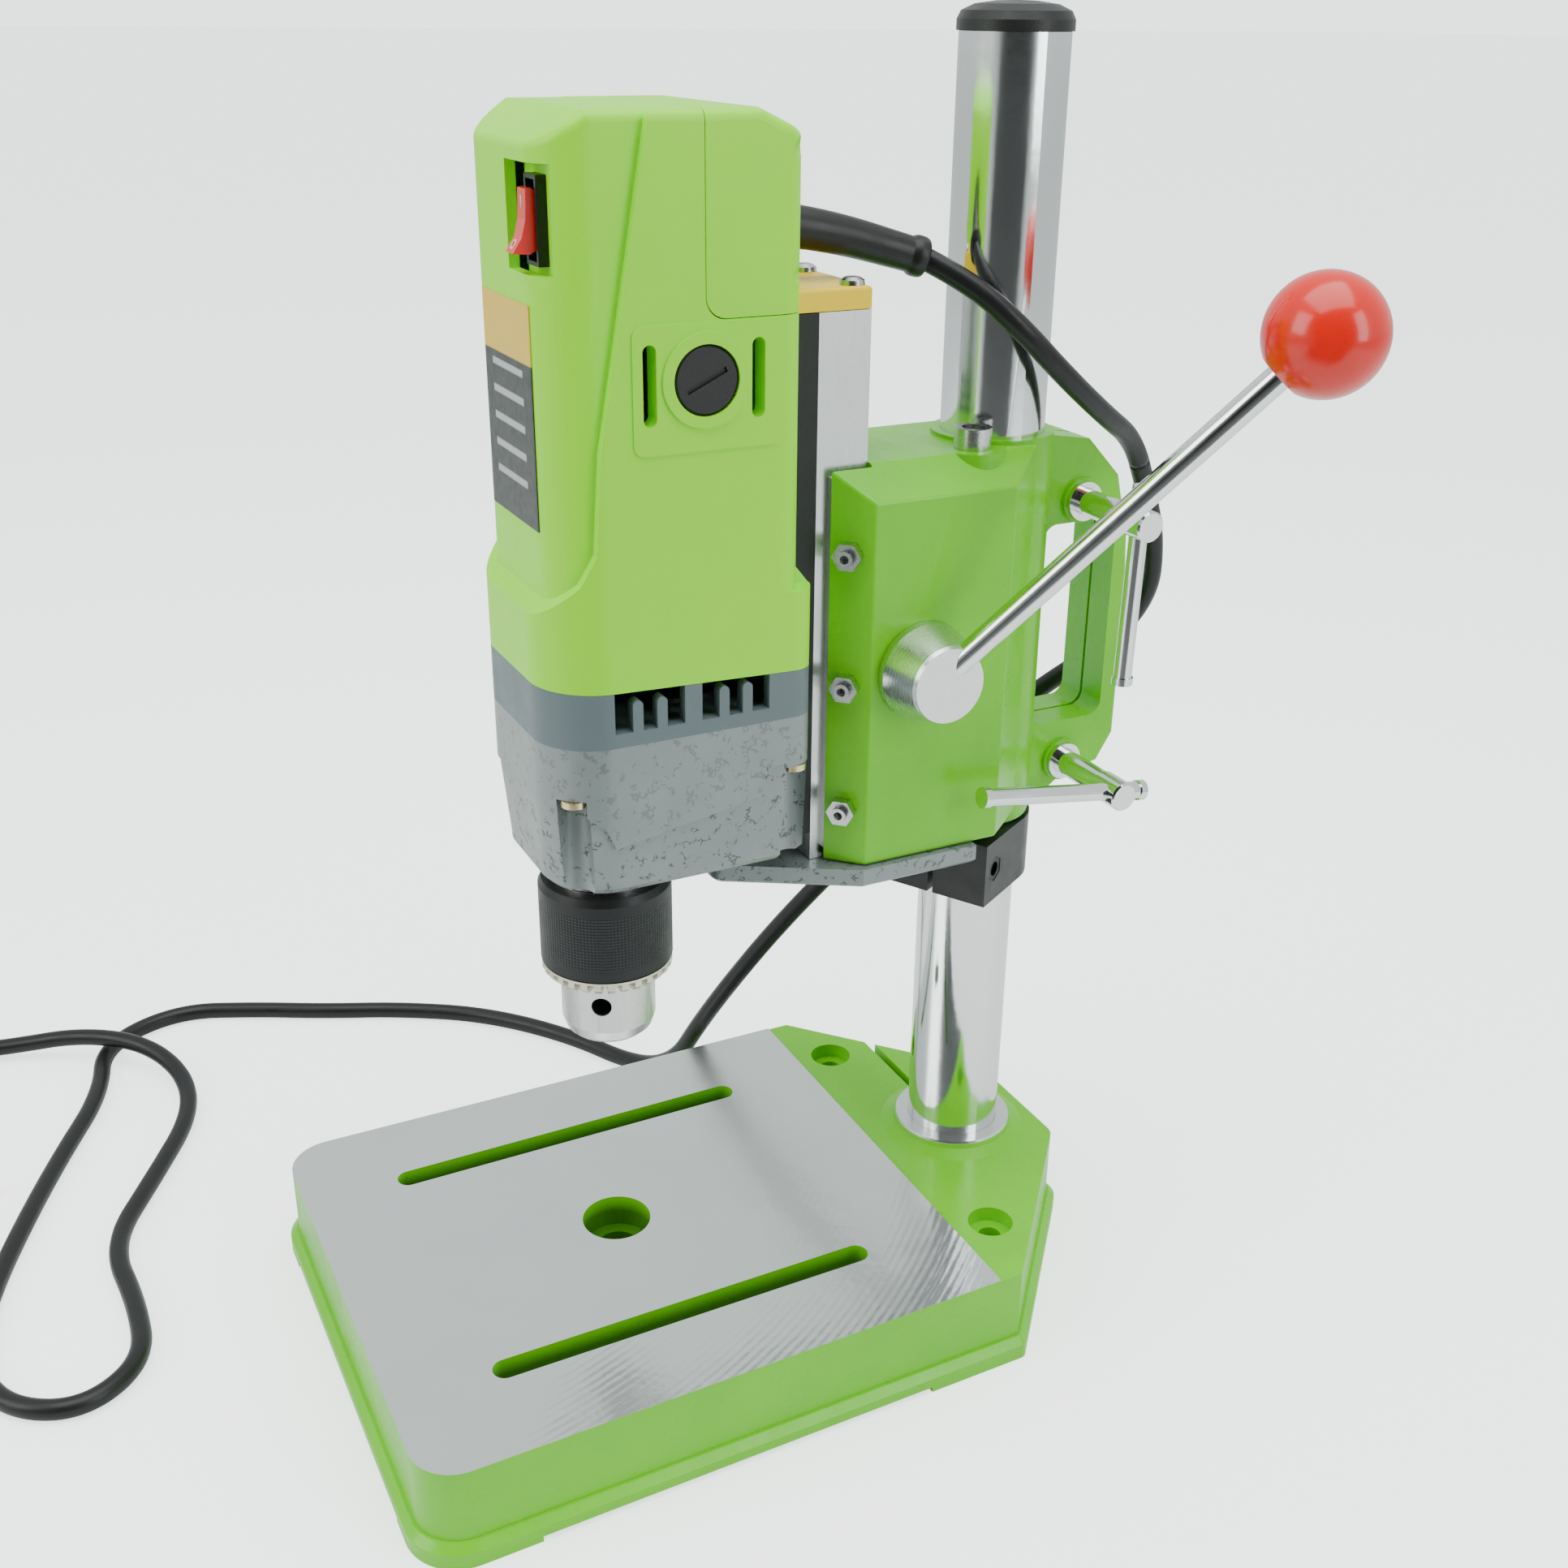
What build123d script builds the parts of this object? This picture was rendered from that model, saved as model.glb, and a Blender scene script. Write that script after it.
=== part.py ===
"""Small bench drill press: cast base, steel column, split head with rack feed, motor head with keyed chuck.

Millimetres, +Z up, floor at z = 0. The spindle axis is x = y = 0, the front is -Y, the feed lever is on +X.
"""
import math
import os

from build123d import *

# ---- driving dimensions ----
TABLE_Z = 34.2
COLUMN_Y = 138.5
COLUMN_R = 16.8
COLUMN_TOP = 419.0
BORE_R = 16.85
RUN = 0.05  # running clearance on a radius

HEAD_BOTTOM = 170.5
HEAD_TOP = 300.0
HEAD_HALF = 32.5
EAR_HALF = 11.5

HUB_Y = 96.0
HUB_Z = 235.5
RACK_MODULE = 1.5
RACK_TEETH = 22
SHAFT_R = 6.0
LEVER_BASE_X = 42.6
BALL = (103.6, 176.7, 344.2)
BALL_R = 17.5

SLIDE_HALF = 20.0
SLIDE_FRONT = 63.8
SLIDE_REAR = 81.0
SLIDE_TOP = 345.0

MOTOR_Y = 21.0
GEARBOX_TOP = 228.3
GEARBOX_BOTTOM = 179.3
MOTOR_TOP = 401.0
SEAM_FRONT_Z = 245.8
SEAM_REAR_Z = 243.0
WALL = 3.0

CLAMP_Y = 167.5
CLAMP_ZS = (277.0, 184.0)
CLAMP_R = 4.5
CLAMP_BAR_X = 43.0
BAR_R = 3.0

SPINDLE_GEAR_TEETH = 48
ARMATURE_GEAR_TEETH = 12
DRIVE_MODULE = 0.7

JAW_R = 3.2
JAW_TILT = 13.0
JAW_BASE_R = 6.0
JAW_BASE_Z = 117.0

CORD_R = 3.5
# one list of route points for the whole cord, from the strain relief to the plug
CORD_ROUTE = [
    (7.0, 105.6, 356.6),
    (15.0, 117.5, 350.0),
    (25.5, 129.0, 338.0),
    (27.0, 146.0, 322.0),
    (21.0, 167.0, 307.0),
    (10.0, 188.0, 295.0),
    (5.0, 199.0, 277.0),
    (2.0, 208.0, 256.0),
    (-3.0, 212.0, 233.0),
    (-15.0, 202.0, 211.0),
    (-28.0, 181.0, 192.0),
    (-38.0, 154.0, 167.0),
    (-45.0, 130.0, 143.0),
    (-56.0, 111.0, 118.0),
    (-68.0, 96.0, 93.0),
    (-80.0, 84.0, 68.0),
    (-92.0, 74.0, 43.0),
    (-106.0, 69.0, 18.0),
    (-130.0, 61.0, 3.5),
    (-166.0, 43.0, 3.5),
    (-199.0, 15.0, 3.5),
    (-220.0, -18.0, 3.5),
    (-234.0, -50.0, 3.5),
    (-248.0, -76.0, 3.5),
    (-263.0, -110.0, 3.5),
    (-247.0, -144.0, 3.5),
    (-209.0, -150.0, 3.5),
    (-170.0, -170.0, 3.5),
    (-130.0, -188.0, 3.5),
    (-94.0, -202.0, 3.5),
    (-62.0, -210.0, 3.5),
    (-34.0, -203.0, 3.5),
    (-21.0, -180.0, 3.5),
    (-36.0, -158.0, 3.5),
    (-66.0, -156.0, 3.5),
    (-104.0, -160.0, 3.5),
    (-140.0, -139.0, 3.5),
    (-176.0, -119.0, 3.6),
    (-204.0, -116.0, 6.0),
    (-228.0, -128.0, 11.6),
    (-247.0, -152.0, 11.6),
    (-260.0, -180.0, 6.0),
    (-271.0, -212.0, 3.5),
    (-267.0, -246.0, 3.5),
    (-243.0, -271.0, 3.5),
    (-211.0, -271.0, 3.5),
    (-194.0, -259.0, 3.5),
    (-182.7, -243.7, 3.5),
]
UPPER_END = 5  # the upper cord ends half way between this point and the next
MIDDLE_END = 11
PLUG_START = (-182.7, -243.7, 3.5)
PLUG_DIR = (0.6, 0.8, 0.0)


# ---- helpers ----
def block(x0, x1, y0, y1, z0, z1):
    return Pos((x0 + x1) / 2, (y0 + y1) / 2, (z0 + z1) / 2) * Box(x1 - x0, y1 - y0, z1 - z0)


def rod(start, end, radius):
    start = Vector(*start)
    axis = Vector(*end) - start
    plane = Plane(origin=start, z_dir=axis)
    return plane * Cylinder(radius, axis.length, align=(Align.CENTER, Align.CENTER, Align.MIN))


def column_rod(radius, z0, z1, x=0.0, y=0.0):
    return rod((x, y, z0), (x, y, z1), radius)


def plan(points, z0, z1):
    face = make_face(Polyline(*points, close=True))
    return Pos(0, 0, z0) * extrude(face, z1 - z0)


def side(points, x0, x1):
    face = make_face(Polyline(*points, close=True))
    return extrude(Plane.YZ.offset(x0) * face, x1 - x0)


def turned(points, x=0.0, y=0.0):
    """Solid of revolution about a vertical axis; points are (radius, z)."""
    face = make_face(Polyline(*points, close=True))
    return Pos(x, y, 0) * revolve(Plane.XZ * face, Axis.Z)


def section(half_width, front, rear, front_radius, rear_radius):
    outline = Pos(0, (front + rear) / 2) * Rectangle(2 * half_width, rear - front)
    outline = fillet(outline.vertices().group_by(Axis.Y)[0], front_radius)
    return fillet(outline.vertices().group_by(Axis.Y)[-1], rear_radius)


def prism(outline, z0, z1):
    return Pos(0, 0, z0) * extrude(outline, z1 - z0)


def hexagon(centre, axis, across_flats, length, hole):
    plane = Plane(origin=centre, z_dir=axis)
    nut = extrude(plane * RegularPolygon(across_flats / 2, 6, major_radius=False), length)
    return nut - plane * Cylinder(hole, 4 * length)


def involute(angle):
    return math.tan(angle) - angle


def gear_points(module, teeth, pressure_deg, addendum, dedendum, thin, first_tooth_deg):
    """Outline of a spur gear: each flank has a few points of its involute."""
    pitch_r = module * teeth / 2
    base_r = pitch_r * math.cos(math.radians(pressure_deg))
    root_r = pitch_r - dedendum
    tip_r = pitch_r + addendum
    half_pitch = math.pi / (2 * teeth) - thin / (2 * pitch_r)
    start_r = max(root_r, base_r)
    flank = []
    for step in range(5):
        r = start_r + (tip_r - start_r) * step / 4
        roll = math.acos(min(1.0, base_r / r))
        flank.append((r, half_pitch + involute(math.radians(pressure_deg)) - involute(roll)))
    if root_r < base_r:
        flank.insert(0, (root_r, flank[0][1]))
    points = []
    for tooth in range(teeth):
        centre = math.radians(first_tooth_deg) + 2 * math.pi * tooth / teeth
        for r, half in flank:
            points.append((r * math.cos(centre - half), r * math.sin(centre - half)))
        for r, half in reversed(flank):
            points.append((r * math.cos(centre + half), r * math.sin(centre + half)))
    return points


# ---- base and column ----
BASE_OUTLINE = [(-90, -96.4), (90, -96.4), (88, 112), (24, 168.5), (-24, 168.5), (-88, 112)]
SLOT_X = 54.2
SLOT_R = 4.25
SLOT_FRONT = -63.3
SLOT_REAR = 70.5
BOLT_X = 59.5
BOLT_Y = 117.7


def base_outline(grow):
    outline = make_face(Polyline(*BASE_OUTLINE, close=True))
    outline = fillet(outline.vertices().group_by(Axis.Y)[0], 15)
    outline = fillet(outline.vertices().group_by(Axis.Y)[-1], 7)
    if grow:
        outline = offset(outline, grow)
    return outline


def base_slot(x, radius, z0, z1):
    middle = block(x - radius, x + radius, SLOT_FRONT + SLOT_R, SLOT_REAR - SLOT_R, z0, z1)
    ends = [column_rod(radius, z0, z1, x, y) for y in (SLOT_FRONT + SLOT_R, SLOT_REAR - SLOT_R)]
    return middle + ends[0] + ends[1]


def base_casting():
    body = prism(base_outline(0), 0, TABLE_Z)
    lip = prism(base_outline(3.3), 0, 8)
    body += chamfer(lip.edges().group_by(Axis.Z)[-1], 2.4)
    hollow = prism(base_outline(-6), -1, TABLE_Z - 8)
    hollow -= column_rod(24, -1, TABLE_Z)
    hollow -= column_rod(26, -1, TABLE_Z, 0, COLUMN_Y)
    hollow -= block(-70, -16, 122, 160, -1, TABLE_Z)
    hollow -= block(-3, 3, -100, COLUMN_Y, -1, TABLE_Z)
    for x in (-1, 1):
        hollow -= base_slot(x * SLOT_X, 11, TABLE_Z - 16, TABLE_Z)
        hollow -= column_rod(13, -1, TABLE_Z, x * BOLT_X, BOLT_Y)
    body -= hollow
    body -= block(-66, 66, -110, -60, -1, 2)
    body -= block(-110, -20, -62, 76, -1, 2)
    body -= block(20 + 6, 110, -62, 76, -1, 2)
    body -= block(-100, 100, 103.6, 175, TABLE_Z - 0.5, TABLE_Z + 1)
    body += turned([(0, 30), (27, 30), (27, TABLE_Z - 0.5), (22.5, TABLE_Z + 1.4), (21.5, 38), (0, 38)], 0, COLUMN_Y)
    body -= column_rod(BORE_R, 6, 40, 0, COLUMN_Y)
    body -= column_rod(11.9, TABLE_Z - 12, TABLE_Z + 1)
    body -= column_rod(7.5, 6, TABLE_Z)
    for x in (-1, 1):
        body -= base_slot(x * SLOT_X, SLOT_R, -1, TABLE_Z + 1)
        body -= column_rod(4, -1, 40, x * BOLT_X, BOLT_Y)
        body -= column_rod(7.9, 28, 40, x * BOLT_X, BOLT_Y)
    body -= block(-75, -10, 135, 138, -1, 40)
    body -= rod((-35, 112, 20), (-35, 148, 20), 3.05)
    body -= rod((-35, 146, 20), (-35, 175, 20), 6)
    return body


def base_clamp_screw():
    screw = rod((-35, 116, 20), (-35, 146.2, 20), 3)
    screw += rod((-35, 146.2, 20), (-35, 152.2, 20), 5)
    return screw - rod((-35, 149, 20), (-35, 153, 20), 2.5)


def column_tube():
    tube = column_rod(COLUMN_R, 8, COLUMN_TOP, 0, COLUMN_Y)
    return tube - column_rod(COLUMN_R - 2, 7, COLUMN_TOP + 1, 0, COLUMN_Y)


def column_cap():
    top = COLUMN_TOP
    points = [(0, top - 9), (14.7, top - 9), (14.7, top + 0.1), (17.6, top + 0.1), (17.6, top + 3.2),
              (16.4, top + 5.6), (12.5, top + 7.4), (6, top + 8.3), (0, top + 8.5)]
    return turned(points, 0, COLUMN_Y)


# ---- stop collar ----
COLLAR_PLACE = Pos(0, COLUMN_Y, 0) * Rot(0, 0, 30)
COLLAR_Z0 = 144.0
COLLAR_Z1 = 167.0
COLLAR_SCREW = (-20.6, 156.0)  # across and up


def stop_collar():
    body = block(-21, 21, -27.5, 0, COLLAR_Z0, COLLAR_Z1) + column_rod(21, COLLAR_Z0, COLLAR_Z1)
    body -= column_rod(BORE_R, COLLAR_Z0 - 1, COLLAR_Z1 + 1)
    body -= block(-1, 1, -28, -10, COLLAR_Z0 - 1, COLLAR_Z1 + 1)
    y, z = COLLAR_SCREW
    body -= rod((-22, y, z), (22, y, z), 2.6)
    body -= rod((-22, y, z), (-15.8, y, z), 4.5)
    pocket = extrude(Plane(origin=(16.8, y, z), z_dir=(1, 0, 0)) * RegularPolygon(4.1, 6, major_radius=False), 6)
    body -= pocket
    return COLLAR_PLACE * body


def collar_screw():
    y, z = COLLAR_SCREW
    screw = rod((-15.9, y, z), (19.5, y, z), 2.5) + rod((-20.6, y, z), (-15.9, y, z), 4.2)
    return COLLAR_PLACE * (screw - rod((-21, y, z), (-18, y, z), 2.1))


def collar_nut():
    y, z = COLLAR_SCREW
    return COLLAR_PLACE * hexagon((17, y, z), (1, 0, 0), 8, 3.8, 2.55)


# ---- head casting ----
EAR_OUTLINE = [(150, 300), (152, 300), (170, 297), (182.8, 283.7), (188.5, 262), (190, 240), (190, 190),
               (184, 180), (166.3, 176), (154, 167), (146, 167)]
GIB_ZS = (274.3, 232.0, 189.9)
GIB_FACE = (27.0, 71.9)
GIB_DIR = 0.7071
GIB_TIP = 4.0


def gib_point(out, z):
    return (GIB_FACE[0] + out * GIB_DIR, GIB_FACE[1] - out * GIB_DIR, z)


def head_casting():
    outline = [(-22, 66.9), (22, 66.9), (HEAD_HALF, 77.4), (HEAD_HALF, 127.5), (EAR_HALF, 153),
               (-EAR_HALF, 153), (-HEAD_HALF, 127.5), (-HEAD_HALF, 77.4)]
    body = plan(outline, HEAD_BOTTOM, HEAD_TOP)
    shoulders = make_face(Polyline((-33, 165), (33, 165), (33, 290), (21.5, 300), (-21.5, 300), (-33, 290), close=True))
    body &= extrude(Plane.XZ.offset(-60) * shoulders, -120)
    body = fillet(body.edges(), 1.5)
    ears = side(EAR_OUTLINE, -EAR_HALF, EAR_HALF)
    ears = fillet([edge for edge in ears.edges() if edge.center().Y > 168], 1.5)
    window = make_face(Polyline((154, 198.5), (183, 198.5), (183, 269.5), (154, 269.5), close=True))
    window = fillet(window.vertices(), 5)
    window = extrude(Plane.YZ.offset(-20) * window, 40) - column_rod(19, 190, 280, 0, COLUMN_Y)
    body += ears
    body -= window
    body += column_rod(20, 168, HEAD_TOP + 1.2, 0, COLUMN_Y)
    body += column_rod(10.5, 284, HEAD_TOP, 16.5, 120.5)
    for z in CLAMP_ZS:
        body += rod((-13, CLAMP_Y, z), (13, CLAMP_Y, z), 7.5)
    body += rod((30, HUB_Y, HUB_Z), (32.5, HUB_Y, HUB_Z), 17)
    body -= column_rod(BORE_R, 160, 310, 0, COLUMN_Y)
    body -= block(-0.6, 0.6, COLUMN_Y, 200, 160, 310)
    body -= block(-20.05, 22.6, 60, 81.3, 160, 310)
    ridge = [(-20.1, 70.8), (-18.2, 73), (-20.1, 75.2), (-21.5, 75.2), (-21.5, 70.8)]
    body += plan(ridge, 175, 229)
    body -= rod((-11, HUB_Y, HUB_Z), (11, HUB_Y, HUB_Z), 18.6)
    body -= rod((-40, HUB_Y, HUB_Z), (40, HUB_Y, HUB_Z), 8.02)
    body -= column_rod(4.1, 278, 301, 16.5, 120.5)
    body -= column_rod(6.4, HEAD_TOP, 305, 16.5, 120.5)
    for z in CLAMP_ZS:
        body -= rod((-20, CLAMP_Y, z), (20, CLAMP_Y, z), CLAMP_R + 0.06)
    for z in GIB_ZS:
        body -= rod(gib_point(-8, z), gib_point(8, z), 2.55)
    return body


def gib_strip():
    strip = block(20.05, 22.5, 67.5, 80, 175, 297)
    return strip + plan([(20.1, 70.8), (18.2, 73), (20.1, 75.2)], 175, 229)


def gib_screws():
    screws = []
    for z in GIB_ZS:
        screw = rod(gib_point(-GIB_TIP + 0.3, z), gib_point(6, z), 2.5)
        screws.append(screw - rod(gib_point(3, z), gib_point(7, z), 1.4))
    return Compound(children=screws)


def gib_lock_nuts():
    nuts = [hexagon(gib_point(0.1, z), (GIB_DIR, -GIB_DIR, 0), 8, 4, 2.55) for z in GIB_ZS]
    return Compound(children=nuts)


def head_top_screw():
    screw = column_rod(4, 279, 300.1, 16.5, 120.5) + column_rod(5.9, 300.1, 306.5, 16.5, 120.5)
    return screw - column_rod(3.6, 301.5, 307, 16.5, 120.5)


def shaft_bushings():
    rings = []
    for x0, x1 in ((11, 32.4), (-32.4, -11)):
        ring = rod((x0, HUB_Y, HUB_Z), (x1, HUB_Y, HUB_Z), 8)
        rings.append(ring - rod((x0 - 1, HUB_Y, HUB_Z), (x1 + 1, HUB_Y, HUB_Z), SHAFT_R + RUN))
    return Compound(children=rings)


def spring_cap():
    cap = rod((-46, HUB_Y, HUB_Z), (-32.6, HUB_Y, HUB_Z), 20)
    cap -= rod((-44.4, HUB_Y, HUB_Z), (-32, HUB_Y, HUB_Z), 18.4)
    return cap - rod((-47, HUB_Y, HUB_Z), (-40, HUB_Y, HUB_Z), 2)


def return_spring():
    """Flat spiral of half circles whose centres alternate, so each half turn is one pitch further out."""
    pitch = 2.6
    thickness = 0.7
    edges = []
    for shift in (0, thickness):
        radius = 7.2 + shift
        x = 0.0
        arcs = []
        for half in range(8):
            sign = 1 if half % 2 == 0 else -1
            start = (x + sign * radius, 0)
            top = (x, sign * radius)
            end = (x - sign * radius, 0)
            arcs.append(ThreePointArc(start, top, end))
            x += sign * pitch / 4
            radius += pitch / 4
        edges.append(arcs)
    inner, outer = edges
    ends = [Line(inner[0] @ 0, outer[0] @ 0), Line(inner[-1] @ 1, outer[-1] @ 1)]
    strip = make_face(Wire(inner + outer + ends))
    place = Plane(origin=(-42.5, HUB_Y, HUB_Z), z_dir=(1, 0, 0))
    return extrude(place * strip, 7)


# ---- head clamps ----
BAR_DIRS = ((-0.02, -1.0), (-0.989, 0.1495))  # along Y and Z, from the screw to the bar's long end
BAR_LONG = 54.0
BAR_SHORT = 12.0


def bar_point(index, distance):
    dy, dz = BAR_DIRS[index]
    return (CLAMP_BAR_X, CLAMP_Y + dy * distance, CLAMP_ZS[index] + dz * distance)


def clamp_screw(index):
    z = CLAMP_ZS[index]
    screw = rod((-19, CLAMP_Y, z), (49, CLAMP_Y, z), CLAMP_R)
    screw += rod((37, CLAMP_Y, z), (49, CLAMP_Y, z), 5)
    screw = chamfer(screw.edges().group_by(Axis.X)[-1], 0.6)
    return screw - rod(bar_point(index, -8), bar_point(index, 8), BAR_R + RUN)


def clamp_bar(index):
    bar = rod(bar_point(index, -BAR_SHORT), bar_point(index, BAR_LONG), BAR_R)
    bar += rod(bar_point(index, -BAR_SHORT), bar_point(index, 2.5 - BAR_SHORT), 3.5)
    return bar + rod(bar_point(index, BAR_LONG - 2.5), bar_point(index, BAR_LONG), 3.5)


def clamp_washers():
    washers = []
    for z in CLAMP_ZS:
        washer = rod((13.05, CLAMP_Y, z), (14.6, CLAMP_Y, z), 6.5)
        washers.append(washer - rod((12, CLAMP_Y, z), (16, CLAMP_Y, z), CLAMP_R + 0.06))
    return Compound(children=washers)


# ---- feed lever ----
def pinion_shaft():
    points = gear_points(RACK_MODULE, RACK_TEETH, 20, RACK_MODULE, 1.25 * RACK_MODULE, 0.12, 180)
    gear = make_face(Polyline(*points, close=True))
    pinion = extrude(Plane(origin=(-10, HUB_Y, HUB_Z), x_dir=(0, 1, 0), z_dir=(1, 0, 0)) * gear, 20)
    return pinion + rod((-43, HUB_Y, HUB_Z), (33, HUB_Y, HUB_Z), SHAFT_R)


def lever_point(distance):
    base = Vector(LEVER_BASE_X, HUB_Y, HUB_Z)
    along = (Vector(*BALL) - base).normalized()
    return tuple(base + along * distance)


def feed_hub():
    face = make_face(Polyline((32.7, 0), (32.7, 16), (35.5, 16), (47.6, 12.6), (49, 12), (49, 0), close=True))
    hub = Pos(0, HUB_Y, HUB_Z) * revolve(face, Axis.X)
    hub -= rod((32, HUB_Y, HUB_Z), (33.05, HUB_Y, HUB_Z), SHAFT_R + 0.02)
    return hub - rod(lever_point(-2), lever_point(30), 4.02)


def feed_lever():
    return rod(lever_point(-1), lever_point(140), 4)


def lever_knob():
    base = Vector(LEVER_BASE_X, HUB_Y, HUB_Z)
    reach = (Vector(*BALL) - base).length
    knob = Pos(*BALL) * Sphere(BALL_R)
    knob -= rod(lever_point(reach - 30), lever_point(reach - 0.92 * BALL_R), 20)
    return knob - rod(lever_point(100), lever_point(140.1), 4.02)


# ---- carriage ----
def slide_bar():
    bar = block(-SLIDE_HALF, SLIDE_HALF, SLIDE_FRONT, SLIDE_REAR, HEAD_BOTTOM, SLIDE_TOP)
    for sign in (-1, 1):
        groove = [(sign * 20.5, 69.9), (sign * 18, 73), (sign * 20.5, 76.1)]
        bar -= plan(groove, 160, 292)
        bar -= column_rod(2.55, 330, 350, sign * 15, 77)
        bar -= column_rod(2.55, 160, 188, sign * 12, 72.5)
    pitch = math.pi * RACK_MODULE
    slope = math.tan(math.radians(20))
    backlash = 0.1
    tip_half = pitch / 4 + 1.5 * slope + backlash
    root_half = pitch / 4 - 1.9 * slope + backlash
    for index in range(-3, 17):
        z = HUB_Z + index * pitch
        space = [(77.6, z - root_half), (81.1, z - tip_half), (81.1, z + tip_half), (77.6, z + root_half)]
        bar -= side(space, -11, 11)
    return bar


def slide_spacer():
    return side([(57.6, 180), (57.6, 268), (52.5, 275), (52.5, 344.9), (63.75, 344.9), (63.75, 180)], -20, 20)


def slide_cap():
    cap = block(-19.9, 19.9, 52.5, 81, 345.2, 351.6)
    cap = fillet(cap.edges().group_by(Axis.Z)[-1], 1)
    for x in (-15, 15):
        cap -= column_rod(2.6, 340, 355, x, 77)
    return cap


def slide_screws():
    screws = []
    for x in (-15, 15):
        head = turned([(0, 351.7), (3.8, 351.7), (3.6, 353), (2.2, 353.8), (0, 353.9)], x, 77)
        head -= block(x - 0.4, x + 0.4, 74, 80, 353, 354)
        screws.append(head + column_rod(2.5, 335, 352, x, 77))
    for x in (-12, 12):
        screws.append(column_rod(2.5, 165.5, 186, x, 72.5) + column_rod(4.2, 164.2, 167.2, x, 72.5))
    return Compound(children=screws)


def foot_plate():
    outline = [(-10, 34), (10, 34), (34.5, 76), (34.5, 119), (-34.5, 119), (-34.5, 76)]
    body = plan(outline, 163.8, 170.3)
    body = fillet(body.edges().filter_by(Axis.Z).group_by(Axis.Y)[0], 5)
    body = chamfer(body.edges().group_by(Axis.Z)[0], 1.2)
    body -= column_rod(36.5, 160, 175, 0, COLUMN_Y)
    for x in (-12, 12):
        body -= column_rod(2.6, 160, 175, x, 72.5)
        body -= column_rod(4.5, 160, 167.4, x, 72.5)
    return body


CORNER_SCREWS = ((28.0, -19.2), (31.0, 51.5), (-28.0, -19.2), (-31.0, 51.5))


def seam_cut(above):
    """Everything above (or below) the sloping seam between the grey ring and the motor shell."""
    gap = 0.05 if above else -0.05
    far = 500 if above else 0
    front = SEAM_FRONT_Z + gap + 0.4
    rear = SEAM_REAR_Z + gap - 0.2
    return side([(-40, front), (64, rear), (64, far), (-40, far)], -50, 50)


def gearbox_housing():
    low = Pos(0, 0, 183) * section(32.5, -25, 57.5, 20, 8)
    high = Pos(0, 0, 206) * section(34.3, -26.6, 57.5, 19.4, 8)
    body = loft([low, high])
    foot = prism(section(32.5, -25, 57.5, 20, 8), GEARBOX_BOTTOM, 183)
    foot = chamfer(foot.edges().group_by(Axis.Z)[0], 2.2)
    body += foot
    body += prism(section(34.3, -26.6, 57.5, 19.4, 8), 206, GEARBOX_TOP)
    panel = prism(section(35, -27.2, 57.5, 19, 8), 184, GEARBOX_TOP)
    region = [(-30, 230), (-30, 209), (-20, 209), (-12, 203), (-9, 196), (38, 204), (42, 213), (60, 215), (60, 230)]
    body += panel & side(region, -40, 40)
    body -= prism(section(31, -23, 53.5, 16, 5), 193, 240)
    body += prism(section(31.5, -23.5, 54, 16, 5), 193, 195)
    for x, y in CORNER_SCREWS:
        body += column_rod(5.8, 212, GEARBOX_TOP, x, y) & panel
        body += column_rod(6.8, 184, 213, x, y) & prism(section(31.5, -23.5, 54, 16, 5), 184, 213)
        body -= column_rod(5.2, 170, 212, x, y)
        body -= column_rod(1.65, 200, 240, x, y)
    body -= column_rod(9.5, 170, 250)
    body -= column_rod(14.02, 185, 200)
    return body


def vent_ring():
    outer = section(35, -27.2, 57.5, 19, 8)
    body = prism(outer, GEARBOX_TOP, 250) - prism(section(31, -23.2, 53.5, 15, 5), 232, 260)
    body += column_rod(14.5, 221, 232)
    body += column_rod(12, 221, 232, 0, MOTOR_Y)
    for x, y in CORNER_SCREWS:
        body += column_rod(5.8, GEARBOX_TOP, 242, x, y) & prism(outer, GEARBOX_TOP, 242)
        body -= column_rod(1.65, 220, 239, x, y)
    body &= seam_cut(False)
    body -= column_rod(11.02, 220, 229)
    body -= column_rod(9.02, 220, 229, 0, MOTOR_Y)
    body -= column_rod(4.6, 220, 240, 0, MOTOR_Y)
    for y0 in (-8.3, 19.2):
        comb = block(-40, 40, y0, y0 + 22, 232.6, 250)
        for post in (7.2, 14.8):
            y = y0 + post
            top = 240.5
            for sign in (-1, 1):
                x0, x1 = sorted((sign * 31, sign * 36))
                comb -= block(x0, x1, y - 1.6, y + 1.6, 230, top)
                comb -= rod((x0, y, top), (x1, y, top), 1.6)
        body -= comb
    return body


VISOR = (32, -23, 52.3, 14, 7.5)
SKIRT = (35, -27.2, 57.5, 19, 8)
COVER_Y = 21.5
COVER_Z = 348.0
BRUSH_Z = 332.0
COVER_SCREWS = ((31.7, 391.0), (31.7, 358.0), (-31.7, 391.0), (-31.7, 358.0))


def cover_region(grow):
    face = make_face(Polyline((COVER_Y - grow, COVER_Z - grow), (70, COVER_Z - grow), (70, 410),
                              (COVER_Y - grow, 410), close=True))
    corner = face.vertices().sort_by(Axis.X)[:2].sort_by(Axis.Y)[0]
    return extrude(Plane.YZ.offset(-45) * fillet(corner, 6), 90)


def crown(drop):
    """Everything below the motor's top, which slopes down to the front and to the rear."""
    top = MOTOR_TOP - drop
    return side([(-40, 230), (-40, top - 18), (-23, top - 8.5), (-10, top), (38, top), (52.3, top - 6.5), (64, top - 12),
                 (64, 230)], -45, 45)


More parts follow.
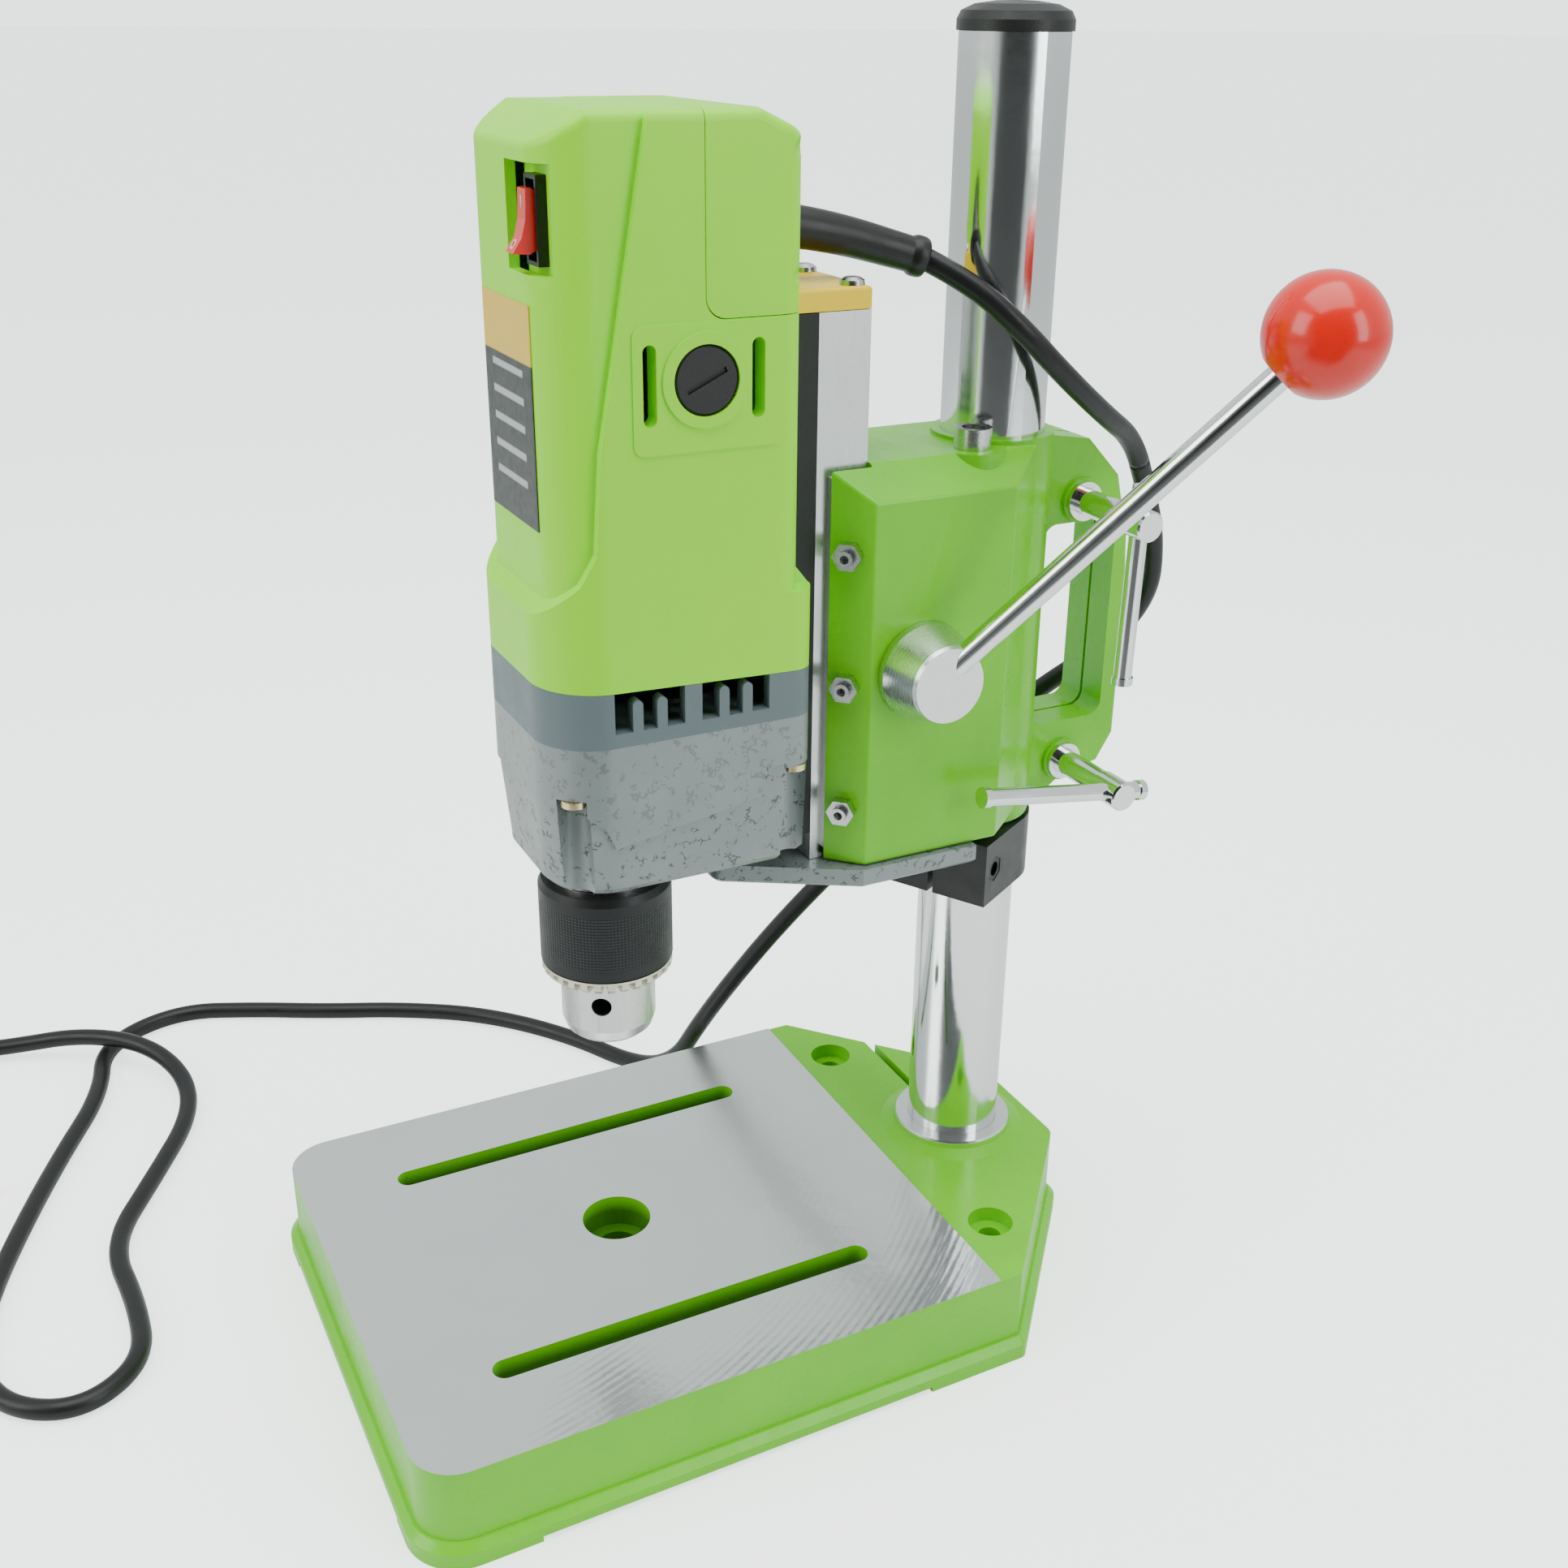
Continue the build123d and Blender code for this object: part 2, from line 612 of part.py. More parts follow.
def motor_outer():
    visor = prism(section(*VISOR), 240, MOTOR_TOP)
    panel = prism(section(35, -27.2, 52.3, 19, 7.5), 240, MOTOR_TOP)
    edge = [(-30, 230), (-30, 266.5), (-28, 266.5), (-16.5, 277.5), (-12, 286), (-10, 314), (6, 402), (70, 402), (70, 230)]
    panel &= side(edge, -40, 40)
    skirt = prism(section(*SKIRT), 240, 280)
    skirt &= side([(-30, 230), (-30, 266.5), (-28, 266.5), (-20, 268), (57.5, 268), (60, 268), (60, 230)], -40, 40)
    flare = side([(40, 260), (40, 274.5), (52.3, 274.5), (57.5, 268), (57.5, 260)], -27, 27)
    body = visor + panel + skirt + flare
    body &= crown(0)
    rim = [edge for edge in body.edges() if edge.center().Z > 392 and abs(edge.center().X) > 0.1]
    body = fillet(rim, 3)
    return body & seam_cut(True)


def motor_wall():
    wall = motor_outer() - prism(section(31.5, -23.7, 54, 15, 5), 240, 261)
    wall -= prism(section(29, -20, 49.3, 11, 4.5), 240, MOTOR_TOP) & crown(WALL + 0.8)
    wall += block(-30, 30, -21, 50, 341.2, 347) & prism(section(29.5, -20.5, 49.8, 11, 4.5), 341, 347.1)
    wall -= column_rod(9.02, 341, 346.8, 0, MOTOR_Y)
    for sign in (-1, 1):
        x0, x1 = sorted((sign * 34, sign * 35.5))
        pad = make_face(Polyline((-0.5, 312.6), (42.8, 312.6), (42.8, 347.4), (20, 347.4), (-0.5, 347.4), close=True))
        pad = fillet(pad.vertices().group_by(Axis.X)[0], 3)
        wall += extrude(Plane.YZ.offset(x0) * pad, x1 - x0)
        wall += rod((sign * 33, MOTOR_Y, BRUSH_Z), (sign * 36.3, MOTOR_Y, BRUSH_Z), 13)
        wall -= rod((sign * 26, MOTOR_Y, BRUSH_Z), (sign * 38, MOTOR_Y, BRUSH_Z), 9.8)
        for y in (4.4, 36.9):
            x0, x1 = sorted((sign * 27, sign * 38))
            wall -= block(x0, x1, y - 2, y + 2, 322.5, 340.5)
            wall -= rod((x0, y, 322.5), (x1, y, 322.5), 2)
            wall -= rod((x0, y, 340.5), (x1, y, 340.5), 2)
    wall -= block(5, 28, -30, -15.5, 360, 388)
    wall += block(5.5, 27.5, -17.6, -15.6, 359, 389) & prism(section(*VISOR), 350, 395)
    wall -= block(13, 22, -30, -10, 362, 385)
    for x, z in COVER_SCREWS:
        wall -= rod((x, 11, z), (x, 60, z), 1.55)
        wall -= rod((x, 44, z), (x, 60, z), 2.7)
    return wall - rod((0, 45, 368), (0, 60, 368), 5.5)


def nameplate():
    plate = prism(section(32.35, -23.35, 52.3, 14.35, 7.5), 290.5, 352)
    plate -= prism(section(32.02, -23.02, 52.3, 14.02, 7.5), 290, 353)
    return plate & block(-19.5, 19.5, -24, -10, 290, 353)


def brush_caps():
    caps = []
    for sign in (-1, 1):
        cap = rod((sign * 29.3, MOTOR_Y, BRUSH_Z), (sign * 36.1, MOTOR_Y, BRUSH_Z), 9.7)
        cap = chamfer(cap.edges().filter_by(GeomType.CIRCLE), 0.8)
        x0, x1 = sorted((sign * 35.3, sign * 37))
        slot = block(x0, x1, MOTOR_Y - 6.5, MOTOR_Y + 6.5, BRUSH_Z - 0.8, BRUSH_Z + 0.8)
        place = Pos(0, MOTOR_Y, BRUSH_Z) * Rot(25, 0, 0) * Pos(0, -MOTOR_Y, -BRUSH_Z)
        caps.append(cap - place * slot)
    return Compound(children=caps)


def brushes():
    return Compound(children=[
        block(10.2, 29, MOTOR_Y - 3, MOTOR_Y + 3, BRUSH_Z - 4, BRUSH_Z + 4),
        block(-29, -10.2, MOTOR_Y - 3, MOTOR_Y + 3, BRUSH_Z - 4, BRUSH_Z + 4),
    ])


def switch_frame():
    frame = block(13.05, 21.95, -20.6, -10.5, 362.05, 384.95)
    frame -= block(14.3, 20.7, -24, -12, 363.2, 383.8)
    return frame - rod((13.4, -19, 373.5), (21.6, -19, 373.5), 1.05)


def switch_rocker():
    profile = [(-22.9, 381.6), (-23.2, 374), (-24.4, 369.5), (-27, 365.6), (-22.4, 365.2), (-14.5, 369.5),
               (-14.5, 377.5), (-21.5, 381.8)]
    return side(profile, 14.45, 20.55) + rod((13.5, -19, 373.5), (21.5, -19, 373.5), 1)


def housing_screws():
    screws = []
    for x, y in CORNER_SCREWS:
        head = column_rod(4, 209.9, 211.9, x, y) + column_rod(1.6, 211.9, 238, x, y)
        screws.append(head - column_rod(1.7, 209, 211, x, y))
    for x, z in COVER_SCREWS:
        screws.append(rod((x, 13, z), (x, 44.1, z), 1.5) + rod((x, 44.1, z), (x, 46.2, z), 2.5))
    return Compound(children=screws)


def stator():
    ring = column_rod(27, 264, 308, 0, MOTOR_Y) - column_rod(17.4, 260, 312, 0, MOTOR_Y)
    for angle in range(0, 360, 30):
        slot = Pos(0, MOTOR_Y, 0) * Rot(0, 0, angle) * block(16, 20.5, -1.2, 1.2, 260, 312)
        ring -= slot
    return ring


def bearing(x, y, z0, z1, inner, outer):
    ring = column_rod(outer, z0, z1, x, y) - column_rod(inner, z0 - 1, z1 + 1, x, y)
    middle = (inner + outer) / 2
    race = column_rod(middle + 0.8, z1 - 0.6, z1 + 1, x, y) - column_rod(middle - 0.8, z1 - 0.6, z1 + 1, x, y)
    return ring - race


def bearings():
    return Compound(children=[
        bearing(0, 0, 185.1, 193, 8.04, 14),
        bearing(0, 0, 221.5, 228.9, 5.04, 11),
        bearing(0, MOTOR_Y, 221.5, 228.9, 4.04, 9),
        bearing(0, MOTOR_Y, 341.3, 346.7, 3.04, 9),
    ])


RELIEF_PATH = ((0.0, 52.5, 368.0), (0.6, 60.0, 367.4), (1.4, 70.0, 366.0), (2.8, 82.0, 363.4), (4.8, 94.0, 360.0),
               (7.0, 105.6, 356.6))


def strain_relief():
    sections = []
    for index, point in enumerate(RELIEF_PATH):
        before = Vector(*RELIEF_PATH[max(index - 1, 0)])
        after = Vector(*RELIEF_PATH[min(index + 1, len(RELIEF_PATH) - 1)])
        along = Vector(0, 1, 0) if index == 0 else after - before
        if index == len(RELIEF_PATH) - 1:
            along = Vector(*CORD_ROUTE[1]) - Vector(*CORD_ROUTE[0])
        sections.append(Plane(origin=point, z_dir=along) * Circle(6.5 - 0.26 * index))
    body = loft(sections)
    body += rod((0, 49.2, 368), (0, 52.6, 368), 5.4) + rod((0, 46.8, 368), (0, 49.2, 368), 8)
    tail = Vector(*CORD_ROUTE[1]) - Vector(*CORD_ROUTE[0])
    bead_end = Vector(*RELIEF_PATH[-1])
    bead = rod(tuple(bead_end - tail.normalized() * 3), tuple(bead_end), 6.2)
    return body + bead


# ---- motor ----
def armature():
    points = gear_points(DRIVE_MODULE, ARMATURE_GEAR_TEETH, 25, 0.5, 0.75, 0.12, -75)
    pinion = prism(make_face(Polyline(*points, close=True)), 196, 214)
    body = Pos(0, MOTOR_Y, 0) * pinion
    body += column_rod(4, 214, 341, 0, MOTOR_Y) + column_rod(3, 341, 346.5, 0, MOTOR_Y)
    core = column_rod(16.6, 262, 310, 0, MOTOR_Y)
    for angle in range(0, 360, 30):
        core -= Pos(0, MOTOR_Y, 0) * Rot(0, 0, angle) * block(10, 17, -1.3, 1.3, 260, 312)
    return body + core


def commutator():
    ring = column_rod(10, 322, 340, 0, MOTOR_Y) - column_rod(4.02, 320, 342, 0, MOTOR_Y)
    for angle in range(0, 360, 30):
        ring -= Pos(0, MOTOR_Y, 0) * Rot(0, 0, angle) * block(8.8, 11, -0.25, 0.25, 320, 342)
    return ring


def fan():
    wheel = column_rod(9, 234, 246, 0, MOTOR_Y) + column_rod(23, 234, 235.5, 0, MOTOR_Y)
    for angle in range(0, 360, 45):
        wheel += Pos(0, MOTOR_Y, 0) * Rot(0, 0, angle) * block(8, 23, -0.7, 0.7, 235, 246)
    return wheel - column_rod(4.02, 230, 250, 0, MOTOR_Y)


# ---- spindle and chuck ----
def spindle():
    body = column_rod(8, 176.9, 214) + column_rod(5, 214, 228)
    return body + column_rod(6, 156, 176.9)


def output_gear():
    points = gear_points(DRIVE_MODULE, SPINDLE_GEAR_TEETH, 25, 0.5, 0.75, 0.12, 90)
    gear = prism(make_face(Polyline(*points, close=True)), 199, 209)
    return gear - column_rod(8.02, 190, 215)


def jaw_point(distance):
    """Point on the first jaw's axis; distance runs up from the tip."""
    tilt = math.radians(JAW_TILT)
    z = JAW_BASE_Z - 1 + distance * math.cos(tilt)
    radius = JAW_BASE_R - math.tan(tilt) + distance * math.sin(tilt)
    return (radius, 0, z)


def jaw(index):
    body = rod(jaw_point(0), jaw_point(26), JAW_R)
    apex = 3.7
    reach = 30
    wide = (reach - apex) * math.tan(math.radians(60))
    wedge = plan([(apex, 0), (reach, wide), (reach, -wide)], 90, 160)
    body = body & wedge & block(4.5, 30, -10, 10, 90, 160)
    return Rot(0, 0, 30 + 120 * index) * body


def chuck_body():
    points = [(0, 114.6), (12.4, 114.6), (14.2, 116.2), (15.4, 119.8), (15.4, 141.3), (13.5, 141.3), (13.5, 149.7),
              (17, 149.7), (17, 172.8), (18.8, 172.8), (19.2, 173.4), (18.2, 176.7), (0, 176.7)]
    body = turned(points)
    body -= column_rod(6.7, 110, 152)
    body -= column_rod(6.02, 152, 180)
    for index in range(3):
        channel = rod(jaw_point(-6), jaw_point(34.5), JAW_R + RUN)
        body -= Rot(0, 0, 30 + 120 * index) * channel
        body -= Rot(0, 0, -30 + 120 * index) * rod((9.5, 0, 129.6), (20, 0, 129.6), 3.3)
    return body


def chuck_sleeve():
    points = [(20, 141.65), (20.9, 141.65), (21.5, 142.3), (21.5, 168.6), (20.4, 171), (17.08, 171), (17.08, 168.2),
              (20, 168.2)]
    return turned(points)


def chuck_gear_ring():
    ring = turned([(15.6, 137.2), (19.6, 137.2), (21.3, 138.9), (21.3, 141.6), (15.6, 141.6)])
    notch = plan([(16.4, -0.5), (22, -1.2), (22, 1.2), (16.4, 0.5)], 136, 140.8)
    for index in range(30):
        ring -= Rot(0, 0, 12 * index) * notch
    return ring


def chuck_nut():
    return turned([(15.3, 141.7), (19.95, 141.7), (19.95, 149.2), (17.05, 149.2)])


# ---- cord and plug ----
def cord_radii(points):
    radii = []
    for before, here, after in zip(points, points[1:], points[2:]):
        first = Vector(*here) - Vector(*before)
        second = Vector(*after) - Vector(*here)
        turn = math.radians(first.get_angle(second))
        radii.append(0.45 * min(first.length, second.length) / math.tan(turn / 2))
    return radii


def between(index):
    first = Vector(*CORD_ROUTE[index])
    second = Vector(*CORD_ROUTE[index + 1])
    return tuple((first + second) * 0.5)


def cord_piece(first, last):
    """Cord from the middle of the run before route point `first` to the middle of the run after `last`."""
    radii = cord_radii(CORD_ROUTE)
    points = [between(first - 1)] if first > 1 else [CORD_ROUTE[0]]
    points += CORD_ROUTE[first:last + 1]
    points.append(between(last) if last < len(CORD_ROUTE) - 2 else CORD_ROUTE[-1])
    path = FilletPolyline(*points, radius=radii[first - 1:last])
    start = Plane(origin=points[0], z_dir=Vector(*points[1]) - Vector(*points[0]))
    tube = sweep(start * Circle(CORD_R), path=path)
    length = sum(edge.length for edge in path.edges())
    return tube, length


def plug_place():
    return Plane(origin=PLUG_START, x_dir=(-PLUG_DIR[1], PLUG_DIR[0], 0), z_dir=PLUG_DIR)


def cord_plug():
    """Moulded two-pin plug lying on its side; z runs from the cord to the pins, x lies across the floor."""
    sections = []
    for z, half_x, half_y in ((0.1, 4.3, 3.4), (12, 5.6, 3.4), (20, 9.5, 5.0), (30, 15.0, 6.6), (36, 15.5, 6.6)):
        rise = half_y - CORD_R
        outline = Pos(0, rise, z) * RectangleRounded(2 * half_x, 2 * half_y, min(half_x, half_y) * 0.7)
        sections.append(outline)
    body = loft(sections, ruled=True)
    return plug_place() * body


def plug_pins():
    pins = []
    for x in (-9.5, 9.5):
        pin = Pos(x, 3.1, 36.1) * Cylinder(2, 19, align=(Align.CENTER, Align.CENTER, Align.MIN))
        pins.append(fillet(pin.edges().group_by(Axis.Z)[-1], 1))
    return plug_place() * Compound(children=pins)


def main():
    os.makedirs("parts", exist_ok=True)
    wall = motor_wall()
    upper, upper_length = cord_piece(1, UPPER_END)
    middle, middle_length = cord_piece(UPPER_END + 1, MIDDLE_END)
    floor, floor_length = cord_piece(MIDDLE_END + 1, len(CORD_ROUTE) - 2)
    nodes = {
        "base_casting": base_casting(),
        "base_clamp_screw": base_clamp_screw(),
        "column_tube": column_tube(),
        "column_cap": column_cap(),
        "stop_collar": stop_collar(),
        "collar_screw": collar_screw(),
        "collar_nut": collar_nut(),
        "head_casting": head_casting(),
        "gib_strip": gib_strip(),
        "gib_screws": gib_screws(),
        "gib_lock_nuts": gib_lock_nuts(),
        "head_top_screw": head_top_screw(),
        "shaft_bushings": shaft_bushings(),
        "spring_cap": spring_cap(),
        "return_spring": return_spring(),
        "clamp_washers": clamp_washers(),
        "clamp_screw_upper": clamp_screw(0),
        "clamp_screw_lower": clamp_screw(1),
        "clamp_bar_upper": clamp_bar(0),
        "clamp_bar_lower": clamp_bar(1),
        "pinion_shaft": pinion_shaft(),
        "feed_hub": feed_hub(),
        "feed_lever": feed_lever(),
        "lever_knob": lever_knob(),
        "slide_bar": slide_bar(),
        "slide_spacer": slide_spacer(),
        "slide_cap": slide_cap(),
        "slide_screws": slide_screws(),
        "foot_plate": foot_plate(),
        "gearbox_housing": gearbox_housing(),
        "vent_ring": vent_ring(),
        "motor_shell": wall - cover_region(0.25),
        "rear_cover": wall & cover_region(0),
        "nameplate": nameplate(),
        "brush_caps": brush_caps(),
        "brushes": brushes(),
        "switch_frame": switch_frame(),
        "switch_rocker": switch_rocker(),
        "housing_screws": housing_screws(),
        "stator": stator(),
        "bearings": bearings(),
        "strain_relief": strain_relief(),
        "armature": armature(),
        "commutator": commutator(),
        "fan": fan(),
        "spindle": spindle(),
        "output_gear": output_gear(),
        "chuck_body": chuck_body(),
        "chuck_sleeve": chuck_sleeve(),
        "chuck_gear_ring": chuck_gear_ring(),
        "chuck_nut": chuck_nut(),
        "jaw_1": jaw(0),
        "jaw_2": jaw(1),
        "jaw_3": jaw(2),
        "cord_upper": upper,
        "cord_middle": middle,
        "cord_floor": floor,
        "cord_plug": cord_plug(),
        "plug_pins": plug_pins(),
    }
    for name, shape in nodes.items():
        export_step(shape, f"parts/{name}.step")
    radii = cord_radii(CORD_ROUTE)
    print("cord radii", [round(radius) for radius in radii])
    print("cord length", round(upper_length + middle_length + floor_length))


main()
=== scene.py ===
"""Looks for the bench drill press.

Materials for the CAD parts, the mains lead, the marks on the switch, the light and the camera. Metres, +Z up.
"""
import math

import bmesh
import bpy
from mathutils import Matrix, Vector


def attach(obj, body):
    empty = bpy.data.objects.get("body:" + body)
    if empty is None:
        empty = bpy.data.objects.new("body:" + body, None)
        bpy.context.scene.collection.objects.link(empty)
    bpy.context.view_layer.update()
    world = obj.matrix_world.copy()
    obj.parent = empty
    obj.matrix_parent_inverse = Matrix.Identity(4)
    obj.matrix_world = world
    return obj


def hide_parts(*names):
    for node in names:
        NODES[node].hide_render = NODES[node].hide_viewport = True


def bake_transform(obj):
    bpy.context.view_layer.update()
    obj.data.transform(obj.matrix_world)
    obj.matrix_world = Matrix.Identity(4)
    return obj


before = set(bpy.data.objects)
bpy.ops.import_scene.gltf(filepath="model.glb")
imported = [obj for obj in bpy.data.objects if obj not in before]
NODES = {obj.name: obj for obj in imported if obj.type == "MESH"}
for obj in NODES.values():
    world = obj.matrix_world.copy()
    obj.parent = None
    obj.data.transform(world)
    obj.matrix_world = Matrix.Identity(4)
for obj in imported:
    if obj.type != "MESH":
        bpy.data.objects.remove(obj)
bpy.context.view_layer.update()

# ---- places shared with the CAD model, in metres ----
COLUMN = Vector((0, 0.1385, 0))
HUB = Vector((0.0327, 0.096, 0.2355))
TABLE_Z = 0.0342
TABLE_REAR = 0.1036
SOCKET_TOP_R = 0.0218
SLEEVE_KNURL = (0.146, 0.165)
CHUCK_BODY_R = 0.0150
LABEL_SPLIT_Z = 0.336
LABEL_FOOT_Z = 0.2905
LABEL_ROWS_PER_METRE = 130

CORD_DIAMETER = 0.007
UPPER_END = 5
MIDDLE_END = 11
CORD_ROUTE = [
    (0.007, 0.1056, 0.3566), (0.015, 0.1175, 0.350), (0.0255, 0.129, 0.338), (0.027, 0.146, 0.322),
    (0.021, 0.167, 0.307), (0.010, 0.188, 0.295), (0.005, 0.199, 0.277), (0.002, 0.208, 0.256),
    (-0.003, 0.212, 0.233), (-0.015, 0.202, 0.211), (-0.028, 0.181, 0.192), (-0.038, 0.154, 0.167),
    (-0.045, 0.130, 0.143), (-0.056, 0.111, 0.118), (-0.068, 0.096, 0.093), (-0.080, 0.084, 0.068),
    (-0.092, 0.074, 0.043), (-0.106, 0.069, 0.018), (-0.130, 0.061, 0.0035), (-0.166, 0.043, 0.0035),
    (-0.199, 0.015, 0.0035), (-0.220, -0.018, 0.0035), (-0.234, -0.050, 0.0035), (-0.248, -0.076, 0.0035),
    (-0.263, -0.110, 0.0035), (-0.247, -0.144, 0.0035), (-0.209, -0.150, 0.0035), (-0.170, -0.170, 0.0035),
    (-0.130, -0.188, 0.0035), (-0.094, -0.202, 0.0035), (-0.062, -0.210, 0.0035), (-0.034, -0.203, 0.0035),
    (-0.021, -0.180, 0.0035), (-0.036, -0.158, 0.0035), (-0.066, -0.156, 0.0035), (-0.104, -0.160, 0.0035),
    (-0.140, -0.139, 0.0035), (-0.176, -0.119, 0.0036), (-0.204, -0.116, 0.0060), (-0.228, -0.128, 0.0116),
    (-0.247, -0.152, 0.0116), (-0.260, -0.180, 0.0060), (-0.271, -0.212, 0.0035), (-0.267, -0.246, 0.0035),
    (-0.243, -0.271, 0.0035), (-0.211, -0.271, 0.0035), (-0.194, -0.259, 0.0035), (-0.1827, -0.2437, 0.0035),
]
RELIEF_PATH = [(0, 0.0525, 0.368), (0.0006, 0.060, 0.3674), (0.0014, 0.070, 0.366), (0.0028, 0.082, 0.3634),
               (0.0048, 0.094, 0.360), (0.007, 0.1056, 0.3566)]


# ---- camera: place, then azimuth, elevation and roll in degrees ----
CAMERA_PLACE = (0.47111, -0.17764, 0.42568)
CAMERA_TURN = (62.81, 24.06, 0.66)
SENSOR_WIDTH = 36
LENS = 40.13


# ---- shader helpers ----
def material(name, colour, roughness, metallic=0.0, coat=0.0, specular=0.5):
    mat = bpy.data.materials.new(name)
    mat.use_nodes = True
    shader = mat.node_tree.nodes["Principled BSDF"]
    shader.inputs["Base Color"].default_value = (*colour, 1)
    shader.inputs["Roughness"].default_value = roughness
    shader.inputs["Metallic"].default_value = metallic
    shader.inputs["Coat Weight"].default_value = coat
    shader.inputs["Coat Roughness"].default_value = 0.12
    shader.inputs["Specular IOR Level"].default_value = specular
    return mat


def node(mat, kind, **values):
    made = mat.node_tree.nodes.new(kind)
    for key, value in values.items():
        setattr(made, key, value)
    return made


def link(mat, source, target):
    mat.node_tree.links.new(source, target)


def shader_of(mat):
    return mat.node_tree.nodes["Principled BSDF"]


def place(mat, scale=(1, 1, 1)):
    """The point on the part, from the part's own coordinates, stretched by scale."""
    coords = node(mat, "ShaderNodeTexCoord")
    mapping = node(mat, "ShaderNodeMapping")
    mapping.inputs["Scale"].default_value = scale
    link(mat, coords.outputs["Object"], mapping.inputs["Vector"])
    return mapping.outputs["Vector"]


def noise(mat, vector, scale, detail=3.0, roughness=0.5):
    made = node(mat, "ShaderNodeTexNoise")
    made.inputs["Scale"].default_value = scale
    made.inputs["Detail"].default_value = detail
    made.inputs["Roughness"].default_value = roughness
    link(mat, vector, made.inputs["Vector"])
    return made.outputs["Fac"]


def maths(mat, operation, first, second=0.5, third=0.0):
    made = node(mat, "ShaderNodeMath", operation=operation)
    for index, value in enumerate((first, second, third)):
        if isinstance(value, (int, float)):
            made.inputs[index].default_value = value
        else:
            link(mat, value, made.inputs[index])
    return made.outputs[0]


def spread(mat, value, low, high, to_low=0.0, to_high=1.0):
    made = node(mat, "ShaderNodeMapRange")
    made.inputs["From Min"].default_value = low
    made.inputs["From Max"].default_value = high
    made.inputs["To Min"].default_value = to_low
    made.inputs["To Max"].default_value = to_high
    link(mat, value, made.inputs["Value"])
    return made.outputs["Result"]


def blend_colours(mat, factor, first, second):
    made = node(mat, "ShaderNodeMix", data_type="RGBA")
    link(mat, factor, made.inputs["Factor"])
    for socket, value in ((made.inputs["A"], first), (made.inputs["B"], second)):
        if isinstance(value, tuple):
            socket.default_value = (*value, 1)
        else:
            link(mat, value, socket)
    return made.outputs["Result"]


def add_bump(mat, height, distance, strength=1.0):
    """Adds a bump before the shader; a second call goes under the first."""
    shader = shader_of(mat)
    made = node(mat, "ShaderNodeBump")
    made.inputs["Strength"].default_value = strength
    made.inputs["Distance"].default_value = distance
    link(mat, height, made.inputs["Height"])
    if shader.inputs["Normal"].is_linked:
        link(mat, shader.inputs["Normal"].links[0].from_socket, made.inputs["Normal"])
    link(mat, made.outputs["Normal"], shader.inputs["Normal"])


def feed(mat, socket, source):
    """Lets a node drive one socket of the shader."""
    link(mat, source, shader_of(mat).inputs[socket])


def axes(mat):
    """Separate X, Y and Z of the place on the part, in metres."""
    split = node(mat, "ShaderNodeSeparateXYZ")
    link(mat, place(mat), split.inputs[0])
    return split.outputs


def radius_from(mat, first, second, first_at, second_at):
    a = maths(mat, "SUBTRACT", first, first_at)
    b = maths(mat, "SUBTRACT", second, second_at)
    squares = maths(mat, "ADD", maths(mat, "MULTIPLY", a, a), maths(mat, "MULTIPLY", b, b))
    return maths(mat, "SQRT", squares)


# ---- materials ----
GREEN_LIGHT = (0.155, 0.60, 0.0)
GREEN_DARK = (0.135, 0.55, 0.0)
LIME = (0.29, 0.86, 0.0)
LIME_PALE = (0.32, 0.89, 0.0)


def green_enamel(name="green_enamel"):
    mat = material(name, GREEN_LIGHT, 0.3, coat=0.12, specular=0.34)
    where = place(mat)
    uneven = noise(mat, where, 28, 4)
    feed(mat, "Base Color", blend_colours(mat, spread(mat, uneven, 0.35, 0.65), GREEN_DARK, GREEN_LIGHT))
    feed(mat, "Roughness", spread(mat, noise(mat, where, 90, 3), 0.3, 0.7, 0.24, 0.38))
    add_bump(mat, noise(mat, where, 60, 2, 0.5), 0.0009, 0.28)
    add_bump(mat, noise(mat, where, 420, 2), 0.00012, 0.35)
    return mat


